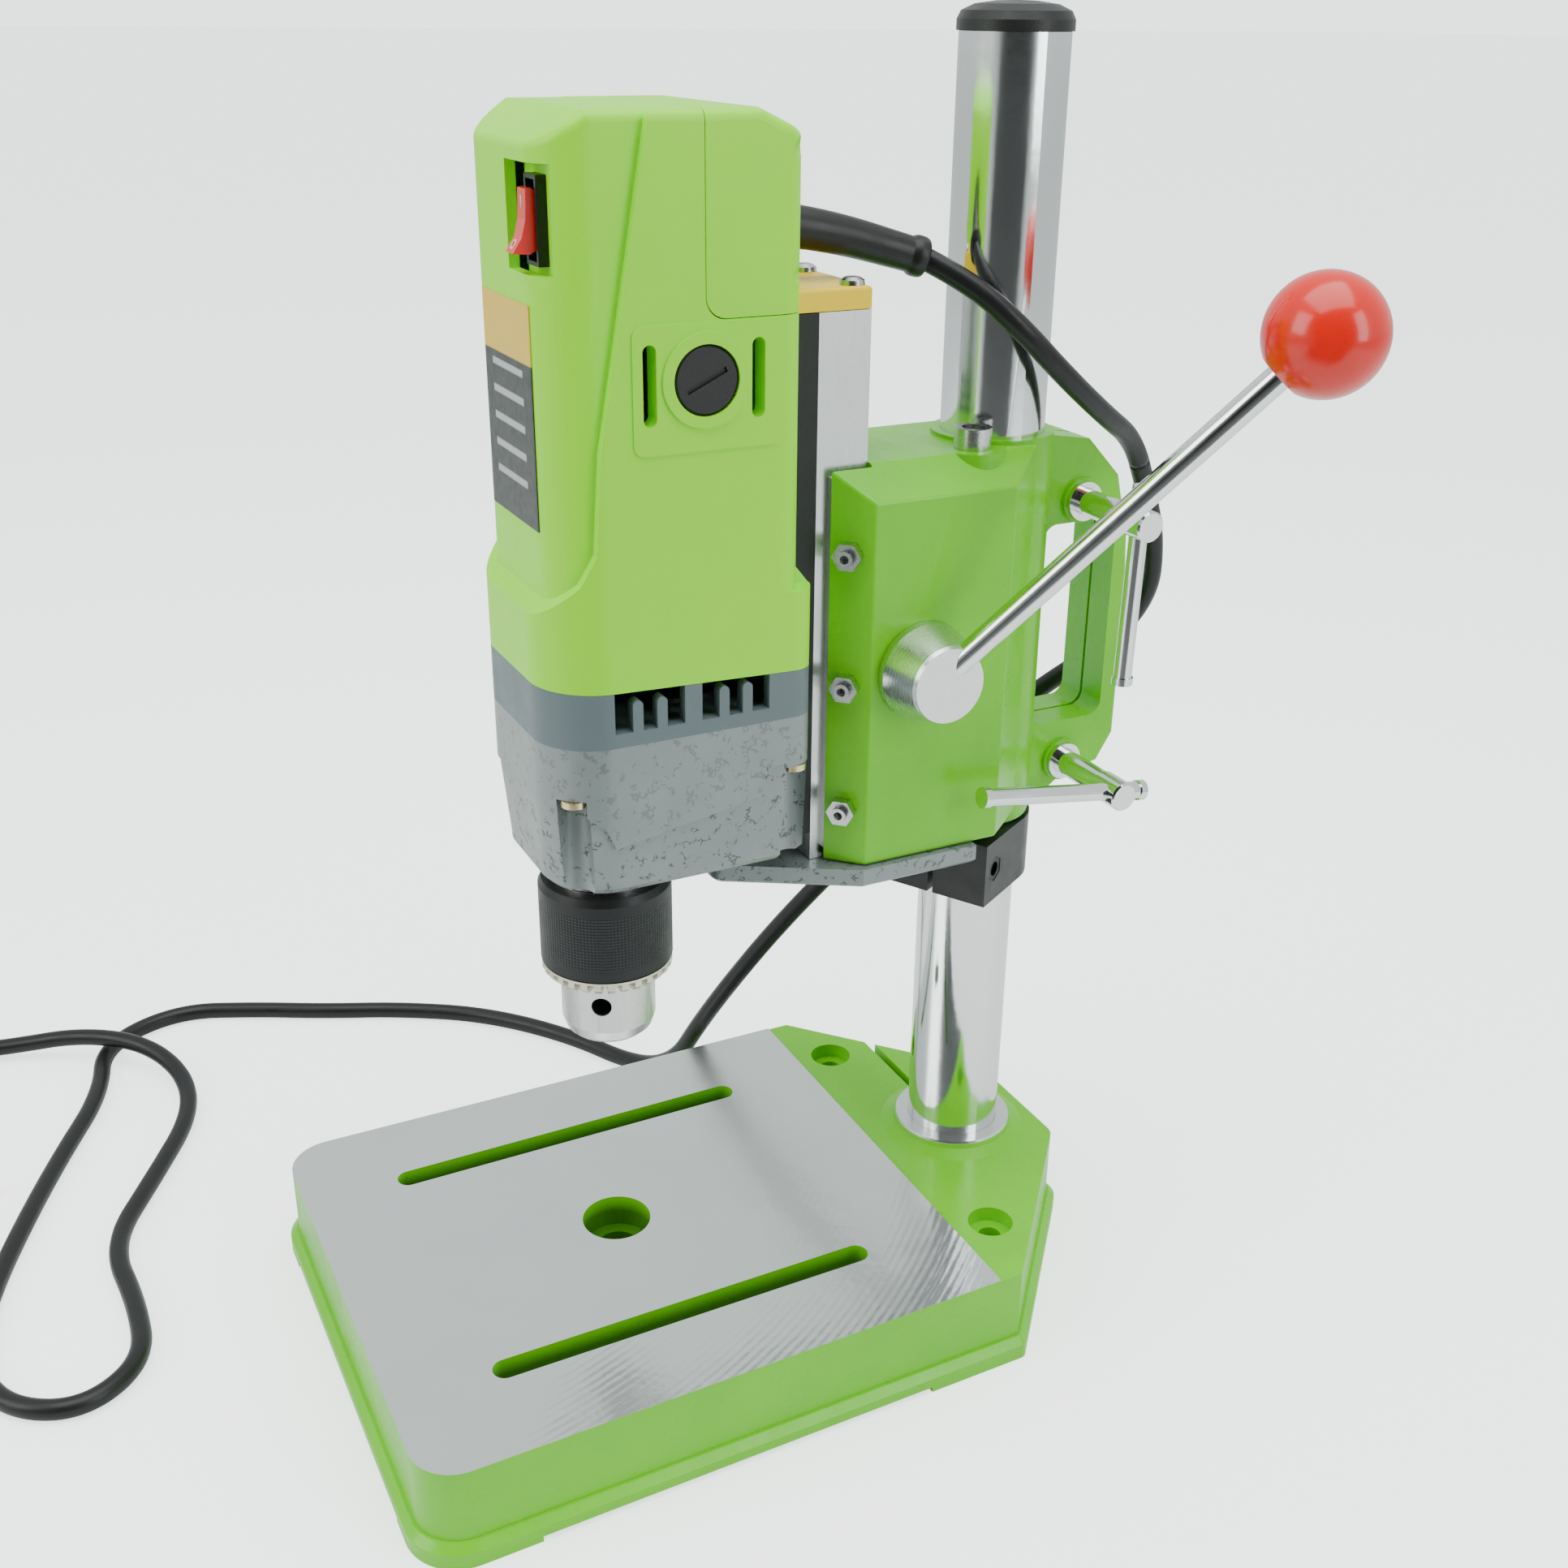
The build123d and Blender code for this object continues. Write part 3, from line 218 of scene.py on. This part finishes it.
def machined_table():
    """Green enamel with bright milled metal on the table and on top of the column socket, and painted shade
    that darkens the enamel with depth below the table top, in the slots and holes.
    """
    mat = green_enamel("machined_table")
    shader = shader_of(mat)
    enamel_colour = shader.inputs["Base Color"].links[0].from_socket
    enamel_rough = shader.inputs["Roughness"].links[0].from_socket
    x, y, z = axes(mat)
    geometry = node(mat, "ShaderNodeNewGeometry")
    normal = node(mat, "ShaderNodeSeparateXYZ")
    link(mat, geometry.outputs["True Normal"], normal.inputs[0])
    up = spread(mat, normal.outputs[2], 0.9, 0.95)
    on_table = maths(mat, "MULTIPLY", spread(mat, z, TABLE_Z - 0.0004, TABLE_Z - 0.0002), up)
    ring_r = radius_from(mat, x, y, COLUMN.x, COLUMN.y)
    socket_rim = spread(mat, ring_r, SOCKET_TOP_R + 0.0001, SOCKET_TOP_R - 0.0001)
    socket = maths(mat, "MULTIPLY", spread(mat, z, 0.0365, 0.0368), socket_rim)
    on_table = maths(mat, "MULTIPLY", on_table, spread(mat, y, TABLE_REAR + 0.0004, TABLE_REAR))
    bare = maths(mat, "MAXIMUM", on_table, socket)
    arc = radius_from(mat, x, y, -0.16, -0.11)
    wobble = noise(mat, place(mat), 12, 2)
    phase = maths(mat, "ADD", maths(mat, "MULTIPLY", arc, 2300), maths(mat, "MULTIPLY", wobble, 5.0))
    marks = maths(mat, "SINE", phase)
    marks = maths(mat, "MULTIPLY", marks, spread(mat, x, -0.03, 0.07, 0.12, 1.0))
    steel = blend_colours(mat, noise(mat, place(mat), 30, 3), (0.66, 0.69, 0.69), (0.74, 0.77, 0.77))
    # painted shade: below the table top, inside the table's outline, the enamel goes darker green with depth
    # in the slots and holes
    across = spread(mat, maths(mat, "ABSOLUTE", x), 0.076, 0.075)
    along = maths(mat, "MULTIPLY", spread(mat, y, -0.088, -0.087), spread(mat, y, 0.100, 0.099))
    depth = spread(mat, z, TABLE_Z - 0.0012, TABLE_Z - 0.006)
    painted_slot_shade = maths(mat, "MULTIPLY", maths(mat, "MULTIPLY", across, along), depth)
    enamel = blend_colours(mat, painted_slot_shade, enamel_colour, (0.045, 0.20, 0.0))
    link(mat, blend_colours(mat, bare, enamel, steel), shader.inputs["Base Color"])
    link(mat, maths(mat, "MULTIPLY", bare, 0.92), shader.inputs["Metallic"])
    rough = node(mat, "ShaderNodeMix", data_type="FLOAT")
    link(mat, bare, rough.inputs["Factor"])
    link(mat, enamel_rough, rough.inputs["A"])
    link(mat, spread(mat, x, -0.04, 0.07, 0.32, 0.19), rough.inputs["B"])
    link(mat, rough.outputs["Result"], shader.inputs["Roughness"])
    add_bump(mat, maths(mat, "MULTIPLY", marks, bare), 0.00003, 0.5)
    return mat


def chrome():
    mat = material("chrome", (0.80, 0.81, 0.82), 0.1, metallic=1.0)
    smudge = noise(mat, place(mat, scale=(1, 1, 0.3)), 60, 5, 0.6)
    feed(mat, "Roughness", spread(mat, smudge, 0.35, 0.75, 0.07, 0.22))
    add_bump(mat, noise(mat, place(mat), 140, 2), 0.00012, 0.35)
    return mat


def bare_steel(name, colour, roughness, stretch, wear=(0.30, 0.31, 0.30)):
    """Ground or drawn metal with fine scratches along the axis that stretch makes long."""
    mat = material(name, colour, roughness, metallic=1.0)
    scratches = noise(mat, place(mat, scale=stretch), 900, 4, 0.6)
    stain = noise(mat, place(mat), 45, 4)
    feed(mat, "Base Color", blend_colours(mat, spread(mat, stain, 0.62, 1.1), colour, wear))
    feed(mat, "Roughness", spread(mat, scratches, 0.3, 0.7, roughness - 0.05, roughness + 0.08))
    add_bump(mat, scratches, 0.00003, 0.4)
    return mat


def chuck_steel():
    """Turned steel with painted shade inside the key holes and the jaw channels, where it goes near black and
    not metallic.
    """
    mat = bare_steel("chuck_steel", (0.62, 0.63, 0.61), 0.22, (1, 1, 0.1))
    shader = shader_of(mat)
    plain = shader.inputs["Base Color"].links[0].from_socket
    x, y, z = axes(mat)
    inside = spread(mat, radius_from(mat, x, y, 0, 0), CHUCK_BODY_R, CHUCK_BODY_R - 0.0003)
    height = maths(mat, "MULTIPLY", spread(mat, z, 0.1205, 0.1215), spread(mat, z, 0.150, 0.149))
    # painted shade: near black and not metallic inside the key holes and jaw channels
    dark = maths(mat, "MULTIPLY", inside, height)
    link(mat, blend_colours(mat, dark, plain, (0.012, 0.012, 0.012)), shader.inputs["Base Color"])
    link(mat, spread(mat, dark, 0, 1, 1, 0), shader.inputs["Metallic"])
    return mat


def turned_aluminium():
    mat = material("turned_aluminium", (0.74, 0.75, 0.75), 0.26, metallic=1.0)
    x, y, z = axes(mat)
    ring = radius_from(mat, y, z, HUB.y, HUB.z)
    along = maths(mat, "MULTIPLY", x, 9000)
    grooves = maths(mat, "SINE", maths(mat, "ADD", maths(mat, "MULTIPLY", ring, 14000), along))
    fine = noise(mat, place(mat), 500, 2)
    feed(mat, "Roughness", spread(mat, maths(mat, "ADD", grooves, fine), -1, 2, 0.22, 0.3))
    add_bump(mat, grooves, 0.000002, 0.3)
    return mat


def hammertone():
    """Grey crackle paint, smoother on the raised upper panel of the gearbox."""
    mat = material("hammertone", (0.22, 0.26, 0.26), 0.36, metallic=0.2, coat=0.2)
    where = place(mat)
    warp = node(mat, "ShaderNodeTexNoise")
    warp.inputs["Scale"].default_value = 260
    warp.inputs["Detail"].default_value = 2
    link(mat, where, warp.inputs["Vector"])
    offset = node(mat, "ShaderNodeVectorMath", operation="MULTIPLY_ADD")
    link(mat, warp.outputs["Color"], offset.inputs[0])
    offset.inputs[1].default_value = (0.0035, 0.0035, 0.0035)
    link(mat, where, offset.inputs[2])
    cells = node(mat, "ShaderNodeTexVoronoi", feature="DISTANCE_TO_EDGE")
    cells.inputs["Scale"].default_value = 520
    link(mat, offset.outputs[0], cells.inputs["Vector"])
    line = spread(mat, cells.outputs["Distance"], 0.02, 0.15)
    broken = spread(mat, noise(mat, where, 330, 2), 0.64, 0.56)
    line = maths(mat, "MAXIMUM", line, broken)
    _, y, z = axes(mat)
    edge = maths(mat, "MULTIPLY_ADD", maths(mat, "MAXIMUM", maths(mat, "ADD", y, 0.009), 0.0), 0.17, 0.196)
    edge = maths(mat, "MULTIPLY_ADD", maths(mat, "LESS_THAN", y, -0.009), 0.010, edge)
    edge = maths(mat, "MULTIPLY_ADD", maths(mat, "GREATER_THAN", y, 0.040), 0.009, edge)
    panel = maths(mat, "GREATER_THAN", z, edge)
    line = maths(mat, "MAXIMUM", line, maths(mat, "MULTIPLY", panel, 0.62))
    pale = blend_colours(mat, noise(mat, where, 60, 3), (0.19, 0.225, 0.225), (0.26, 0.30, 0.295))
    feed(mat, "Base Color", blend_colours(mat, line, (0.055, 0.068, 0.068), pale))
    add_bump(mat, line, 0.0002, 0.6)
    add_bump(mat, noise(mat, where, 330, 2), 0.0002, 0.3)
    return mat


def plastic(name, colour, roughness, grain=2600, depth=0.00006, pale=None, coat=0.0):
    mat = material(name, colour, roughness, coat=coat, specular=0.32)
    where = place(mat)
    if pale:
        shade = spread(mat, noise(mat, where, 14, 3), 0.3, 0.7)
        feed(mat, "Base Color", blend_colours(mat, shade, colour, pale))
    worn = spread(mat, noise(mat, where, 120, 4), 0.3, 0.7, roughness - 0.05, roughness + 0.06)
    feed(mat, "Roughness", worn)
    add_bump(mat, noise(mat, where, grain, 2), depth, 0.5)
    return mat


def knurled_black():
    """Black sleeve with diamond knurling in a band."""
    mat = plastic("knurled_black", (0.016, 0.017, 0.018), 0.42, 1800, 0.00008)
    x, y, z = axes(mat)
    turn = maths(mat, "MULTIPLY", maths(mat, "ARCTAN2", y, x), 60)
    rise = maths(mat, "MULTIPLY", z, 3000)
    left = maths(mat, "SINE", maths(mat, "ADD", turn, rise))
    right = maths(mat, "SINE", maths(mat, "SUBTRACT", turn, rise))
    low, high = SLEEVE_KNURL
    rising = spread(mat, z, low - 0.0005, low + 0.0005)
    falling = spread(mat, z, high + 0.0005, high - 0.0005)
    band = maths(mat, "MULTIPLY", rising, falling)
    add_bump(mat, maths(mat, "MULTIPLY", maths(mat, "MULTIPLY", left, right), band), 0.00025, 0.5)
    return mat


def laminated_steel():
    mat = bare_steel("laminated_steel", (0.34, 0.35, 0.36), 0.42, (1, 1, 1))
    add_bump(mat, maths(mat, "SINE", maths(mat, "MULTIPLY", axes(mat)[2], 9000)), 0.0001, 0.5)
    return mat


def blank_label():
    """Yellow band over a dark field with a few plain bars in place of text."""
    mat = material("blank_label", (0.8, 0.5, 0.05), 0.4)
    x, _, z = axes(mat)
    yellow = spread(mat, z, LABEL_SPLIT_Z - 0.0002, LABEL_SPLIT_Z + 0.0002)
    row = maths(mat, "MULTIPLY", maths(mat, "SUBTRACT", z, LABEL_FOOT_Z), LABEL_ROWS_PER_METRE)
    row = maths(mat, "FRACT", row)
    bar = maths(mat, "MULTIPLY", spread(mat, row, 0.36, 0.42), spread(mat, row, 0.68, 0.62))
    inside = maths(mat, "MULTIPLY", spread(mat, x, -0.013, -0.0126), spread(mat, x, 0.0126, 0.0122))
    printed = maths(mat, "MULTIPLY", spread(mat, z, 0.2985, 0.2987), spread(mat, z, 0.3340, 0.3338))
    bars = maths(mat, "MULTIPLY", maths(mat, "MULTIPLY", bar, inside), printed)
    dark = blend_colours(mat, bars, (0.03, 0.035, 0.035), (0.42, 0.45, 0.43))
    speckle = noise(mat, place(mat), 300, 3)
    warm = blend_colours(mat, speckle, (0.72, 0.46, 0.03), (0.80, 0.55, 0.06))
    feed(mat, "Base Color", blend_colours(mat, yellow, dark, warm))
    feed(mat, "Roughness", spread(mat, speckle, 0.3, 0.7, 0.34, 0.46))
    return mat


def dress_nodes():
    """One procedural material for each CAD node."""
    zinc = bare_steel("zinc", (0.62, 0.63, 0.63), 0.24, (1, 1, 1))
    steel = bare_steel("ground_steel", (0.60, 0.62, 0.61), 0.30, (1, 1, 0.03))
    chuck = chuck_steel()
    gear = bare_steel("gear_steel", (0.66, 0.63, 0.52), 0.34, (1, 1, 1), (0.3, 0.28, 0.22))
    brass = bare_steel("brass_screw", (0.72, 0.60, 0.32), 0.26, (1, 1, 1))
    oxide = bare_steel("black_oxide", (0.03, 0.03, 0.032), 0.4, (1, 1, 1), (0.06, 0.06, 0.06))
    red = plastic("red_plastic", (0.70, 0.006, 0.001), 0.2, pale=(0.74, 0.010, 0.002), coat=0.4)
    black = plastic("black_plastic", (0.018, 0.018, 0.019), 0.38, 1700, 0.0001)
    grey = plastic("smooth_grey", (0.115, 0.155, 0.165), 0.42, 1500, 0.00008, (0.135, 0.175, 0.185))
    looks = {
        green_enamel(): ["head_casting"],
        machined_table(): ["base_casting"],
        chrome(): ["column_tube", "feed_lever", "clamp_screw_upper", "clamp_screw_lower", "clamp_bar_upper",
                   "clamp_bar_lower", "clamp_washers"],
        turned_aluminium(): ["feed_hub"],
        hammertone(): ["gearbox_housing", "foot_plate"],
        grey: ["vent_ring"],
        plastic("lime_plastic", LIME, 0.36, pale=LIME_PALE): ["motor_shell", "rear_cover"],
        plastic("yellow_plastic", (0.94, 0.58, 0.001), 0.34, pale=(0.96, 0.64, 0.002)): ["slide_cap"],
        red: ["lever_knob", "switch_rocker"],
        black: ["column_cap", "stop_collar", "spring_cap", "brush_caps", "switch_frame"],
        plastic("black_paint", (0.014, 0.016, 0.015), 0.5, 900, 0.0001): ["slide_spacer"],
        plastic("carbon", (0.03, 0.03, 0.032), 0.6, 1500, 0.0001): ["brushes", "fan"],
        knurled_black(): ["chuck_sleeve"],
        oxide: ["collar_screw", "collar_nut"],
        zinc: ["base_clamp_screw", "gib_screws", "gib_lock_nuts", "head_top_screw",
               "slide_screws"],
        steel: ["slide_bar", "gib_strip", "pinion_shaft", "return_spring", "bearings", "spindle",
                "output_gear"],
        chuck: ["chuck_body", "chuck_nut", "jaw_1", "jaw_2", "jaw_3"],
        gear: ["chuck_gear_ring"],
        brass: ["housing_screws", "shaft_bushings", "plug_pins"],
        bare_steel("copper", (0.62, 0.30, 0.14), 0.3, (1, 1, 1)): ["commutator"],
        laminated_steel(): ["stator", "armature"],
        blank_label(): ["nameplate"],
    }
    for mat, names in looks.items():
        for name in names:
            mesh = NODES[name].data
            mesh.materials.clear()
            mesh.materials.append(mat)


# ---- mesh helpers ----
def make_object(name, mesh_builder, mat):
    mesh = bpy.data.meshes.new(name)
    mesh_builder.to_mesh(mesh)
    mesh_builder.free()
    mesh.materials.append(mat)
    for face in mesh.polygons:
        face.use_smooth = True
    made = bpy.data.objects.new(name, mesh)
    bpy.context.scene.collection.objects.link(made)
    return made


def tube_rings(points, radius_at, around=20):
    """Rings of points about a path, turned as little as possible from one to the next."""
    rings = []
    side = None
    for index, point in enumerate(points):
        before = points[max(index - 1, 0)]
        after = points[min(index + 1, len(points) - 1)]
        along = (after - before).normalized()
        if side is None:
            side = along.cross(Vector((0, 0, 1))).normalized()
        side = (side - along * side.dot(along)).normalized()
        other = along.cross(side)
        radius = radius_at(index)
        rings.append([point + (side * math.cos(turn) + other * math.sin(turn)) * radius
                      for turn in (2 * math.pi * k / around for k in range(around))])
    return rings


def skin(rings):
    """Closed skin over rings of equal count."""
    mesh = bmesh.new()
    rows = [[mesh.verts.new(point) for point in ring] for ring in rings]
    for first, second in zip(rows, rows[1:]):
        count = len(first)
        for k in range(count):
            mesh.faces.new((first[k], first[(k + 1) % count], second[(k + 1) % count], second[k]))
    mesh.faces.new(list(reversed(rows[0])))
    mesh.faces.new(rows[-1])
    bmesh.ops.recalc_face_normals(mesh, faces=mesh.faces)
    return mesh


def smooth_line(route, resolution):
    """Points along the NURBS line that has the route as its control points."""
    curve = bpy.data.curves.new("route", "CURVE")
    curve.dimensions = "3D"
    spline = curve.splines.new("NURBS")
    spline.points.add(len(route) - 1)
    for target, point in zip(spline.points, route):
        target.co = (*point, 1)
    spline.order_u = 3
    spline.use_endpoint_u = True
    spline.resolution_u = resolution
    holder = bpy.data.objects.new("route", curve)
    bpy.context.scene.collection.objects.link(holder)
    bpy.context.view_layer.update()
    mesh = bpy.data.meshes.new_from_object(holder)
    points = [vertex.co.copy() for vertex in mesh.vertices]
    bpy.data.objects.remove(holder)
    bpy.data.meshes.remove(mesh)
    return points


def path_length(points):
    return sum((b - a).length for a, b in zip(points, points[1:]))


def nearest(points, target):
    return min(range(len(points)), key=lambda index: (points[index] - target).length)


# ---- mains lead ----
def build_lead():
    rubber = plastic("lead_rubber", (0.012, 0.012, 0.013), 0.36, 900, 0.00008)
    line = smooth_line(CORD_ROUTE, 14)
    cuts = [0]
    for index in (UPPER_END, MIDDLE_END):
        middle = (Vector(CORD_ROUTE[index]) + Vector(CORD_ROUTE[index + 1])) / 2
        cuts.append(nearest(line, middle))
    cuts.append(len(line) - 1)
    pieces = []
    for name, start, end in zip(("lead_upper", "lead_middle", "lead_floor"), cuts, cuts[1:]):
        points = line[start:end + 1]
        rings = tube_rings(points, lambda index: CORD_DIAMETER / 2)
        pieces.append((make_object(name, skin(rings), rubber), points))
    upper, middle, floor = pieces
    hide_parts("cord_upper")
    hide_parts("cord_middle")
    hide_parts("cord_floor")
    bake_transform(upper[0])
    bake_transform(middle[0])
    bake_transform(floor[0])
    plug = build_plug(rubber)
    relief = build_relief(rubber)


def build_relief(rubber):
    """Smooth tapered sleeve with a bead at its end."""
    line = smooth_line(RELIEF_PATH, 24)
    total = path_length(line)
    travelled = [path_length(line[:index + 1]) / total for index in range(len(line))]

    def radius_at(index):
        share = travelled[index]
        radius = 0.0065 - 0.0013 * share
        if share > 0.925:
            return 0.0061 - 0.02 * max(0.0, abs(share - 0.962) - 0.02)
        return radius

    relief = make_object("relief_sleeve", skin(tube_rings(line, radius_at, 28)), rubber)
    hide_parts("strain_relief")
    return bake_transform(relief)


# Distance along the plug in metres, then half width and half height in millimetres.
PLUG_SECTIONS = [
    (0.0002, 4.0, 3.3), (0.004, 4.6, 3.4), (0.0118, 5.4, 3.4), (0.016, 7.0, 4.0), (0.0205, 9.6, 5.1),
    (0.026, 12.9, 6.0), (0.0305, 14.9, 6.5), (0.0352, 15.3, 6.5), (0.0358, 14.7, 6.0),
]
PLUG_SQUARENESS = 0.6
PLUG_UNDERSIDE = -0.0034


def build_plug(rubber):
    """Moulded two-pin plug body, lofted from rounded sections and flat where it lies on the floor."""
    along = Vector((0.6, 0.8, 0))
    across = Vector((0.8, -0.6, 0))
    up = Vector((0, 0, 1))
    start = Vector(CORD_ROUTE[-1])
    rings = []
    for distance, wide, high in PLUG_SECTIONS:
        ring = []
        for k in range(36):
            turn = 2 * math.pi * k / 36
            c, s = math.cos(turn), math.sin(turn)
            x = math.copysign(abs(c) ** PLUG_SQUARENESS, c) * wide / 1000
            z = math.copysign(abs(s) ** PLUG_SQUARENESS, s) * high / 1000 + (high - 3.5) / 1000
            ring.append(start + along * distance + across * x + up * max(z, PLUG_UNDERSIDE))
        rings.append(ring)
    plug = make_object("plug_body", skin(rings), rubber)
    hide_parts("cord_plug")
    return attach(plug, "root")


# ---- switch marks ----
def build_switch_marks():
    """A plain ring and a plain bar, moulded on the rocker's two halves."""
    white = plastic("mark_white", (0.75, 0.72, 0.70), 0.5, 2000, 0.00004)
    mesh = bmesh.new()
    centre = Vector((0.0175, -0.02572, 0.36765))
    tilt = Matrix.Rotation(math.radians(90 - 32), 4, "X")
    bmesh.ops.create_cone(mesh, cap_ends=False, segments=24, radius1=0.0014, radius2=0.0014, depth=0.0002,
                          matrix=Matrix.Translation(centre) @ tilt)
    ring = make_object("mark_ring", mesh, white)
    thick = ring.modifiers.new("thick", "SOLIDIFY")
    thick.thickness = 0.0004
    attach(ring, "rocker")
    mesh = bmesh.new()
    upright = Matrix.Diagonal((0.0005, 0.0003, 0.0032, 1))
    bmesh.ops.create_cube(mesh, size=1, matrix=Matrix.Translation((0.0175, -0.02308, 0.3782)) @ upright)
    bmesh.ops.bevel(mesh, geom=mesh.edges[:], offset=0.0001, segments=2, affect="EDGES")
    bar = make_object("mark_bar", mesh, white)
    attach(bar, "rocker")


# ---- stage, light and camera ----
def build_stage():
    """Pale floor and surroundings, darker towards the viewer in reflections, so that metal shows bands."""
    mesh = bmesh.new()
    bmesh.ops.create_grid(mesh, x_segments=8, y_segments=8, size=30)
    paper = plastic("paper_floor", (0.80, 0.83, 0.82), 0.7, 300, 0.00002)
    seen = node(paper, "ShaderNodeLightPath")
    x, y, _ = axes(paper)
    ahead = maths(paper, "ADD", maths(paper, "MULTIPLY", x, 0.889), maths(paper, "MULTIPLY", y, -0.457))
    beside = maths(paper, "ADD", maths(paper, "MULTIPLY", x, 0.457), maths(paper, "MULTIPLY", y, 0.889))
    beside = maths(paper, "ABSOLUTE", beside)
    wedge = spread(paper, maths(paper, "DIVIDE", beside, maths(paper, "MAXIMUM", ahead, 0.01)), 0.85, 0.6)
    shade = maths(paper, "MULTIPLY", wedge, spread(paper, ahead, 0.28, 0.5, 0, 0.93))
    lit = maths(paper, "SUBTRACT", 1.0, shade)
    lit = maths(paper, "MAXIMUM", lit, seen.outputs["Is Camera Ray"])
    feed(paper, "Base Color", blend_colours(paper, lit, (0.03, 0.03, 0.03), (0.80, 0.83, 0.82)))
    glow = spread(paper, seen.outputs["Is Camera Ray"], 0, 1, 0.12, 1.7)
    feed(paper, "Emission Strength", maths(paper, "MULTIPLY", glow, lit))
    shader_of(paper).inputs["Emission Color"].default_value = (0.96, 1.0, 0.985, 1)
    floor = make_object("floor", mesh, paper)
    world = bpy.data.worlds.new("studio")
    bpy.context.scene.world = world
    world.use_nodes = True
    coords = node(world, "ShaderNodeTexCoord")
    facing = node(world, "ShaderNodeVectorMath", operation="DOT_PRODUCT")
    link(world, coords.outputs["Generated"], facing.inputs[0])
    facing.inputs[1].default_value = (0.81, -0.42, 0.41)
    around = spread(world, facing.outputs["Value"], 0.5, 0.85, 1.0, 0.03)
    seen = node(world, "ShaderNodeLightPath")
    strength = maths(world, "MAXIMUM", around, maths(world, "MULTIPLY", seen.outputs["Is Camera Ray"], 2.6))
    link(world, strength, world.node_tree.nodes["Background"].inputs["Strength"])
    world.node_tree.nodes["Background"].inputs["Color"].default_value = (0.94, 1.0, 0.98, 1)


def area_light(name, location, target, size, power, colour=(1, 1, 1)):
    data = bpy.data.lights.new(name, "AREA")
    data.shape = "RECTANGLE"
    data.size, data.size_y = size
    data.energy = power
    data.color = colour
    lamp = bpy.data.objects.new(name, data)
    lamp.location = location
    lamp.rotation_euler = (Vector(target) - Vector(location)).to_track_quat("-Z", "Y").to_euler()
    bpy.context.scene.collection.objects.link(lamp)


def build_lights():
    middle = (0, 0.05, 0.2)
    area_light("top_light", (0.2, 0.0, 1.5), middle, (1.4, 1.2), 22, (0.97, 1, 0.99))
    area_light("front_light", (0.0, -1.35, 0.95), middle, (0.8, 1.0), 12, (1, 0.99, 0.97))
    area_light("side_light", (1.3, 0.7, 0.8), middle, (0.5, 1.1), 9, (0.96, 0.99, 1))


def build_camera():
    azimuth, elevation, roll = (math.radians(v) for v in CAMERA_TURN)
    right = Vector((math.cos(azimuth), math.sin(azimuth), 0))
    flat = math.cos(elevation)
    back = Vector((math.sin(azimuth) * flat, -math.cos(azimuth) * flat, math.sin(elevation)))
    up = back.cross(right)
    tilted_right = right * math.cos(roll) + up * math.sin(roll)
    tilted_up = up * math.cos(roll) - right * math.sin(roll)
    data = bpy.data.cameras.new("camera")
    data.sensor_width = SENSOR_WIDTH
    data.lens = LENS
    camera = bpy.data.objects.new("camera", data)
    turn = Matrix((tilted_right, tilted_up, back)).transposed().to_4x4()
    camera.matrix_world = Matrix.Translation(CAMERA_PLACE) @ turn
    bpy.context.scene.collection.objects.link(camera)
    bpy.context.scene.camera = camera


build_camera()
dress_nodes()
build_lead()
build_switch_marks()
build_stage()
build_lights()
